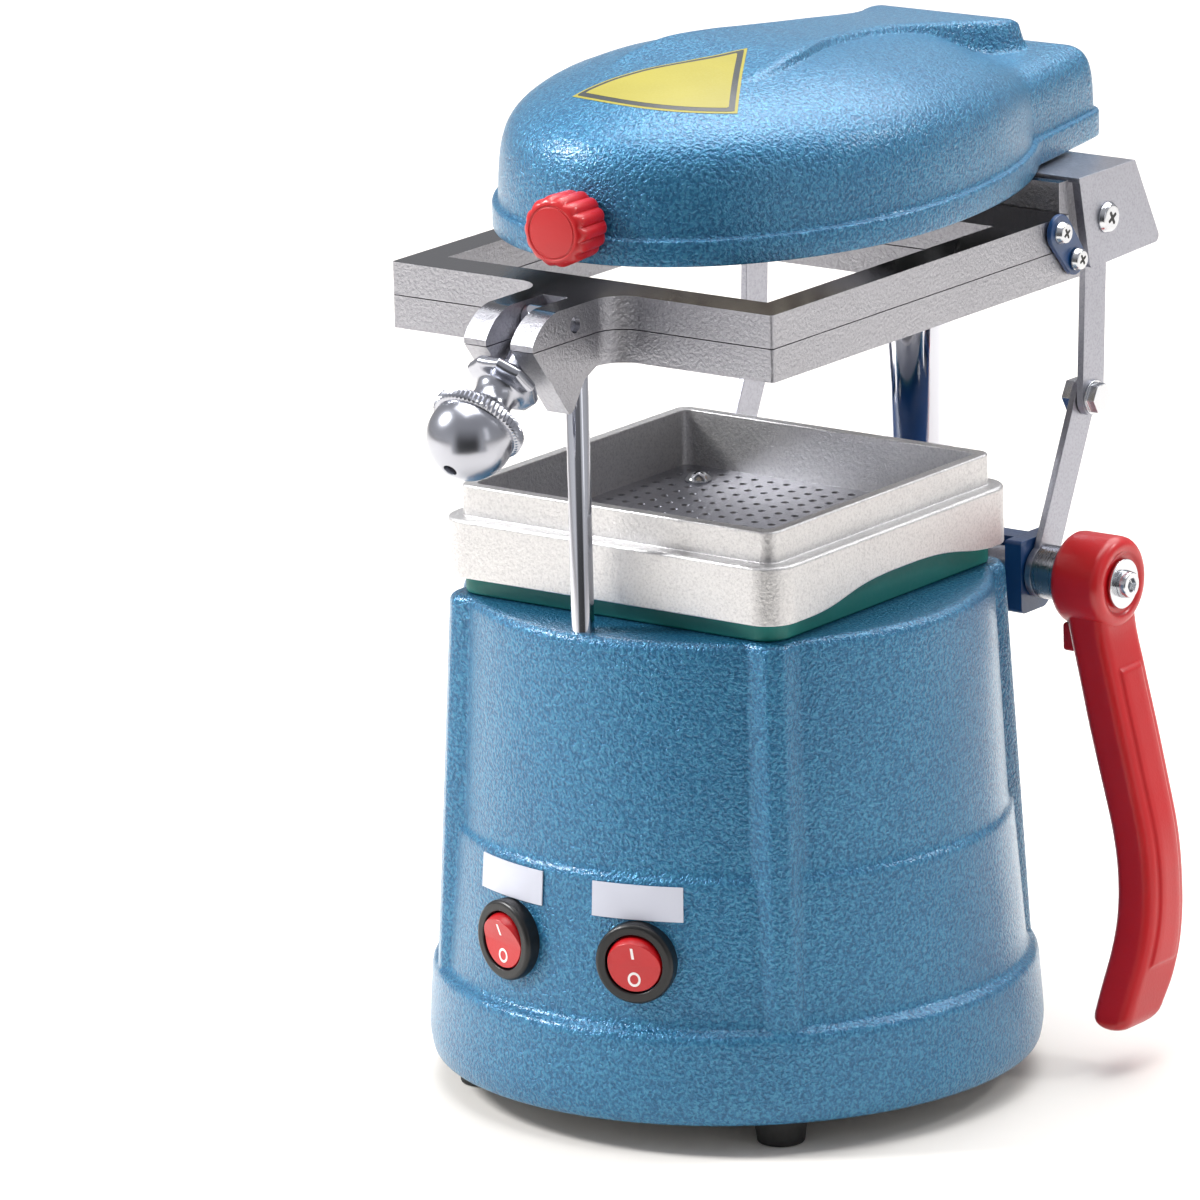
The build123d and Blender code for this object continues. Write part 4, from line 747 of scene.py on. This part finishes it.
def clamp_knob():
    n = 480
    phi = np.linspace(0, 2 * np.pi, n, endpoint=False)
    facet = np.cos(np.pi / 10) / np.cos((phi % (2 * np.pi / 10)) - np.pi / 10)
    knurl = np.abs(((phi * 60 / (2 * np.pi)) % 1.0) - 0.5) * 2
    ball = 13.0
    rows = [(22.3, 3.25, 0, 0), (22.3, 9.6, 0.4, 0), (22.7, 10.3, 0.8, 0), (23.3, 10.9, 1, 0), (23.8, 11.2, 1, 0), (25.4, 11.2, 1, 0), (26.0, 10.7, 0.8, 0),
            (26.5, 9.9, 0.3, 0), (26.9, 8.6, 0, 0), (27.4, 7.4, 0, 0), (28.2, 6.7, 0, 0), (29.6, 6.25, 0, 0), (31.5, 6.15, 0, 0), (33.4, 6.45, 0, 0),
            (35.0, 7.2, 0, 0), (36.2, 8.5, 0, 0), (37.0, 10.2, 0, 0), (37.6, 12.2, 0, 0), (37.9, 13.2, 0, 0.2), (38.2, 13.9, 0, 0.7), (38.6, 14.3, 0, 1),
            (39.4, 14.4, 0, 1), (40.6, 14.4, 0, 1), (41.4, 14.3, 0, 1), (41.8, 13.9, 0, 0.7), (42.1, 13.2, 0, 0.2), (42.2, 12.75, 0, 0)]
    a0 = math.acos((42.2 - 45.5) / ball)
    hole = math.asin(2.2 / ball)
    for a in np.linspace(a0, hole + 0.03, 30)[1:]:
        rows.append((45.5 + ball * math.cos(a), ball * math.sin(a), 0, 0))
    rows += [(45.5 + ball * math.cos(hole) - 0.15, 2.15, 0, 0), (45.5 + ball * math.cos(hole) - 0.6, 2.0, 0, 0), (53.2, 2.0, 0, 0)]
    rings = []
    for t, r, f, k in rows:
        rr = r * (1 - f + f * facet * 1.02) - 0.55 * k * knurl
        rings.append((PIN + AXIS * t)[None, :] + rr[:, None] * (np.cos(phi)[:, None] * SIDE + np.sin(phi)[:, None] * OVER))
    ob = rings_mesh("clamp_grip", np.array(rings) * MM, cap_last=True)
    sharp(ob, 42)
    # painted shade: a dark disc at the bottom of the bore in the ball
    hole_ob = rings_mesh("clamp_grip_hole", np.array([(PIN + AXIS * 53.3)[None, :] + r * (np.cos(phi[::12])[:, None] * SIDE + np.sin(phi[::12])[:, None] * OVER)
                                                      for r in (2.0, 0.6)]) * MM, cap_last=True)
    paint(ob, "satin_chrome")
    paint(hole_ob, "hole_shade")
    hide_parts("clamp_knob")
    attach(ob, "clamp_knob")
    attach(hole_ob, "clamp_knob")


clamp_knob()


# ---------------------------------------------------------------------------
# painted shade in the driver recesses of the screw heads
# ---------------------------------------------------------------------------
FRAME_HINGE = (84.4, 246.0)
FRAME_HINGE_UPPER = (76.6, 255.6)
LINK_TOP = (107.0, 254.2)


def recess(name, side, height, at, size, body):
    """painted shade: a dark cross on the crown of a screw head that faces sideways, standing in for the shade inside
    the driver recess
    """
    turn = math.radians(28.0 if side > 0 else 61.0)
    verts, faces = [], []
    for k in range(2):
        a = turn + k * math.pi / 2
        u = np.array([0.0, math.cos(a), math.sin(a)])
        w = np.array([0.0, -math.sin(a), math.cos(a)])
        c = np.array([CX + side * (height + 0.03 + 0.01 * k), CY + at[0], at[1]])
        m = len(verts)
        for du, dw in ((-1, -0.55), (-0.82, -1), (0.82, -1), (1, -0.55), (1, 0.55), (0.82, 1), (-0.82, 1), (-1, 0.55)):
            verts.append((c + u * du * size + w * dw * size * 0.24) * MM)
        faces.append(tuple(range(m, m + 8)))
    ob = new_object(name, verts, faces, False)
    paint(ob, "hole_shade")
    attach(ob, body)


for side, word in ((1, "right"), (-1, "left")):
    recess("lower_screw_recess_" + word, side, 74.6, FRAME_HINGE, 1.75, body_of["lower_hinge_screws"])
    recess("cover_screw_recess_" + word, side, 70.5, LINK_TOP, 2.3, body_of["link_rivets"])
    recess("upper_screw_recess_" + word, side, 74.2, FRAME_HINGE_UPPER, 1.75, body_of["upper_hinge_screws"])


# ---------------------------------------------------------------------------
# I and O on the rockers
# ---------------------------------------------------------------------------
def glyphs(theta, body, name):
    t = math.radians(theta)
    rad, tan, up = np.array([math.cos(t), math.sin(t), 0]), np.array([-math.sin(t), math.cos(t), 0]), np.array([0, 0, 1.0])
    origin = np.array([CX, CY, 58.5]) + rad * 88.6
    lean = math.radians(20)
    d = up * math.cos(lean) + rad * math.sin(lean)
    out = rad * math.cos(lean) - up * math.sin(lean)
    c = origin + rad * 4.05 + up * 3.7 + out * 0.06
    bar = [c + tan * sx * 0.42 + d * sz * 2.0 for sx, sz in ((-1, -1), (1, -1), (1, 1), (-1, 1))]
    ob = new_object(name + "_mark_i", np.array(bar) * MM, [(0, 1, 2, 3)], False)
    c = origin + rad * (2.56 + 0.07) - up * 4.7
    verts, faces = [], []
    m = 40
    for k in range(m):
        a = 2 * math.pi * k / m
        for r in (1.35, 2.05):
            verts.append((c + tan * r * math.cos(a) + up * r * 1.1 * math.sin(a)) * MM)
        j = (k + 1) % m
        faces.append((2 * k, 2 * k + 1, 2 * j + 1, 2 * j))
    ring = new_object(name + "_mark_o", verts, faces, False)
    for o in (ob, ring):
        paint(o, "glyph_white")
        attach(o, body)


glyphs(-104.35, "heater_switch", "heater")
glyphs(-73.65, "vacuum_switch", "vacuum")


# ---------------------------------------------------------------------------
# floor, light, camera
# ---------------------------------------------------------------------------
def floor():
    edge = [(-6, 8), (-6, -4), (-0.80, -4), (-0.10, -0.52), (0.10, -0.50), (0.34, -0.40), (0.48, -0.18), (6, -2.0), (6, 8)]
    ob = new_object("studio_floor", [(px, py, -0.0002) for px, py in edge], [tuple(range(len(edge)))], False)
    s = Shader("studio_floor")
    s.set(Base_Color=lin(238, 234, 228), Roughness=0.6, Specular_IOR_Level=0.25)
    ob.data.materials.append(s.mat)


floor()

world = bpy.data.worlds.new("studio")
bpy.context.scene.world = world
bpy.context.scene.view_settings.view_transform = "Standard"
bpy.context.scene.view_settings.look = "None"
world.use_nodes = True
background = world.node_tree.nodes["Background"]
wt = world.node_tree


def world_node(kind, **kw):
    nd = wt.nodes.new(kind)
    for k, v in kw.items():
        setattr(nd, k, v)
    return nd


direction = world_node("ShaderNodeTexCoord")
split = world_node("ShaderNodeSeparateXYZ")
wt.links.new(direction.outputs["Generated"], split.inputs[0])
turn = world_node("ShaderNodeMath", operation="ARCTAN2")
wt.links.new(split.outputs["Y"], turn.inputs[0])
wt.links.new(split.outputs["X"], turn.inputs[1])
round_pos = world_node("ShaderNodeMapRange")
round_pos.inputs["From Min"].default_value = -math.pi
round_pos.inputs["From Max"].default_value = math.pi
wt.links.new(turn.outputs[0], round_pos.inputs["Value"])
# panels of light all round: bright on the left, dark behind the camera, a lit panel on the right
AROUND = [(-180, 0.71), (-100, 1.0), (-84, 0.115), (-34, 0.075), (-24, 0.81), (12, 0.76), (24, 0.12), (74, 0.13), (92, 0.46), (180, 0.71)]
ring = world_node("ShaderNodeValToRGB")
for k, (deg, c) in enumerate(AROUND):
    e = ring.color_ramp.elements[0] if k == 0 else ring.color_ramp.elements.new(0.5) if k < len(AROUND) - 1 else ring.color_ramp.elements[-1]
    e.position = (deg + 180) / 360.0
    e.color = (c, c, c * 1.02, 1.0)
wt.links.new(round_pos.outputs["Result"], ring.inputs["Fac"])
rise = world_node("ShaderNodeValToRGB")
for k, (p, c) in enumerate(((0.50, 0.0), (0.80, 1.0))):
    rise.color_ramp.elements[k].position, rise.color_ramp.elements[k].color = p, (c, c, c, 1.0)
remap = world_node("ShaderNodeMapRange")
remap.inputs["From Min"].default_value = -1.0
remap.inputs["From Max"].default_value = 1.0
wt.links.new(split.outputs["Z"], remap.inputs["Value"])
wt.links.new(remap.outputs["Result"], rise.inputs["Fac"])
sky = world_node("ShaderNodeMix", data_type="RGBA")
sky.inputs[7].default_value = (0.60, 0.60, 0.63, 1.0)
wt.links.new(rise.outputs["Color"], sky.inputs["Factor"])
wt.links.new(ring.outputs["Color"], sky.inputs[6])
seen = world_node("ShaderNodeLightPath")
plain = world_node("ShaderNodeMix", data_type="RGBA")
plain.inputs[7].default_value = (1.35, 1.35, 1.35, 1.0)
wt.links.new(seen.outputs["Is Camera Ray"], plain.inputs["Factor"])
wt.links.new(sky.outputs[2], plain.inputs[6])
wt.links.new(plain.outputs[2], background.inputs[0])
background.inputs[1].default_value = 0.80


def area(name, location, target, size, power, colour=(1, 1, 1), size_y=None):
    data = bpy.data.lights.new(name, "AREA")
    data.energy = power
    data.color = colour
    data.shape = "RECTANGLE"
    data.size = size
    data.size_y = size_y or size
    ob = bpy.data.objects.new(name, data)
    bpy.context.scene.collection.objects.link(ob)
    ob.location = location
    ob.rotation_mode = "QUATERNION"
    ob.rotation_quaternion = (Vector(target) - Vector(location)).to_track_quat("-Z", "Y")
    return ob


area("key", (-1.37, -0.86, 1.38), (0, 0, 0.18), 0.45, 42.0)
area("key_rear", (1.12, 1.08, 1.29), (0, 0, 0.22), 0.24, 7.5)
area("fill_right", (1.60, -0.30, 0.70), (0, 0, 0.18), 0.35, 0.8, size_y=0.9)
area("top", (-0.10, 0.05, 1.50), (0, 0, 0.2), 1.0, 15.0)
area("floor_wash", (0.0, 1.6, 2.2), (0, 1.2, 0.0), 2.2, 60.0)

cam_data = bpy.data.cameras.new("photo_camera")
cam = bpy.data.objects.new("photo_camera", cam_data)
bpy.context.scene.collection.objects.link(cam)
cam_data.lens = 296.95
cam_data.sensor_width = 36.0
cam_data.sensor_fit = "HORIZONTAL"
cam_data.shift_x = 0.00239
cam_data.shift_y = 0.00233
cam_data.clip_start = 0.1
cam_data.clip_end = 60.0
right, up, back = Vector((0.8053, 0.5924, -0.0231)), Vector((-0.1339, 0.2197, 0.9664)), Vector((0.5775, -0.7751, 0.2563))
right.normalize()
back.normalize()
up = back.cross(right).normalized()
right = up.cross(back).normalized()
m = Matrix((right, up, back)).transposed().to_4x4()
m.translation = Vector(((1708.96 + CX) * MM, (-2360.78 + CY) * MM, (931.62 - 11.1) * MM))
cam.matrix_world = m
bpy.context.scene.camera = cam
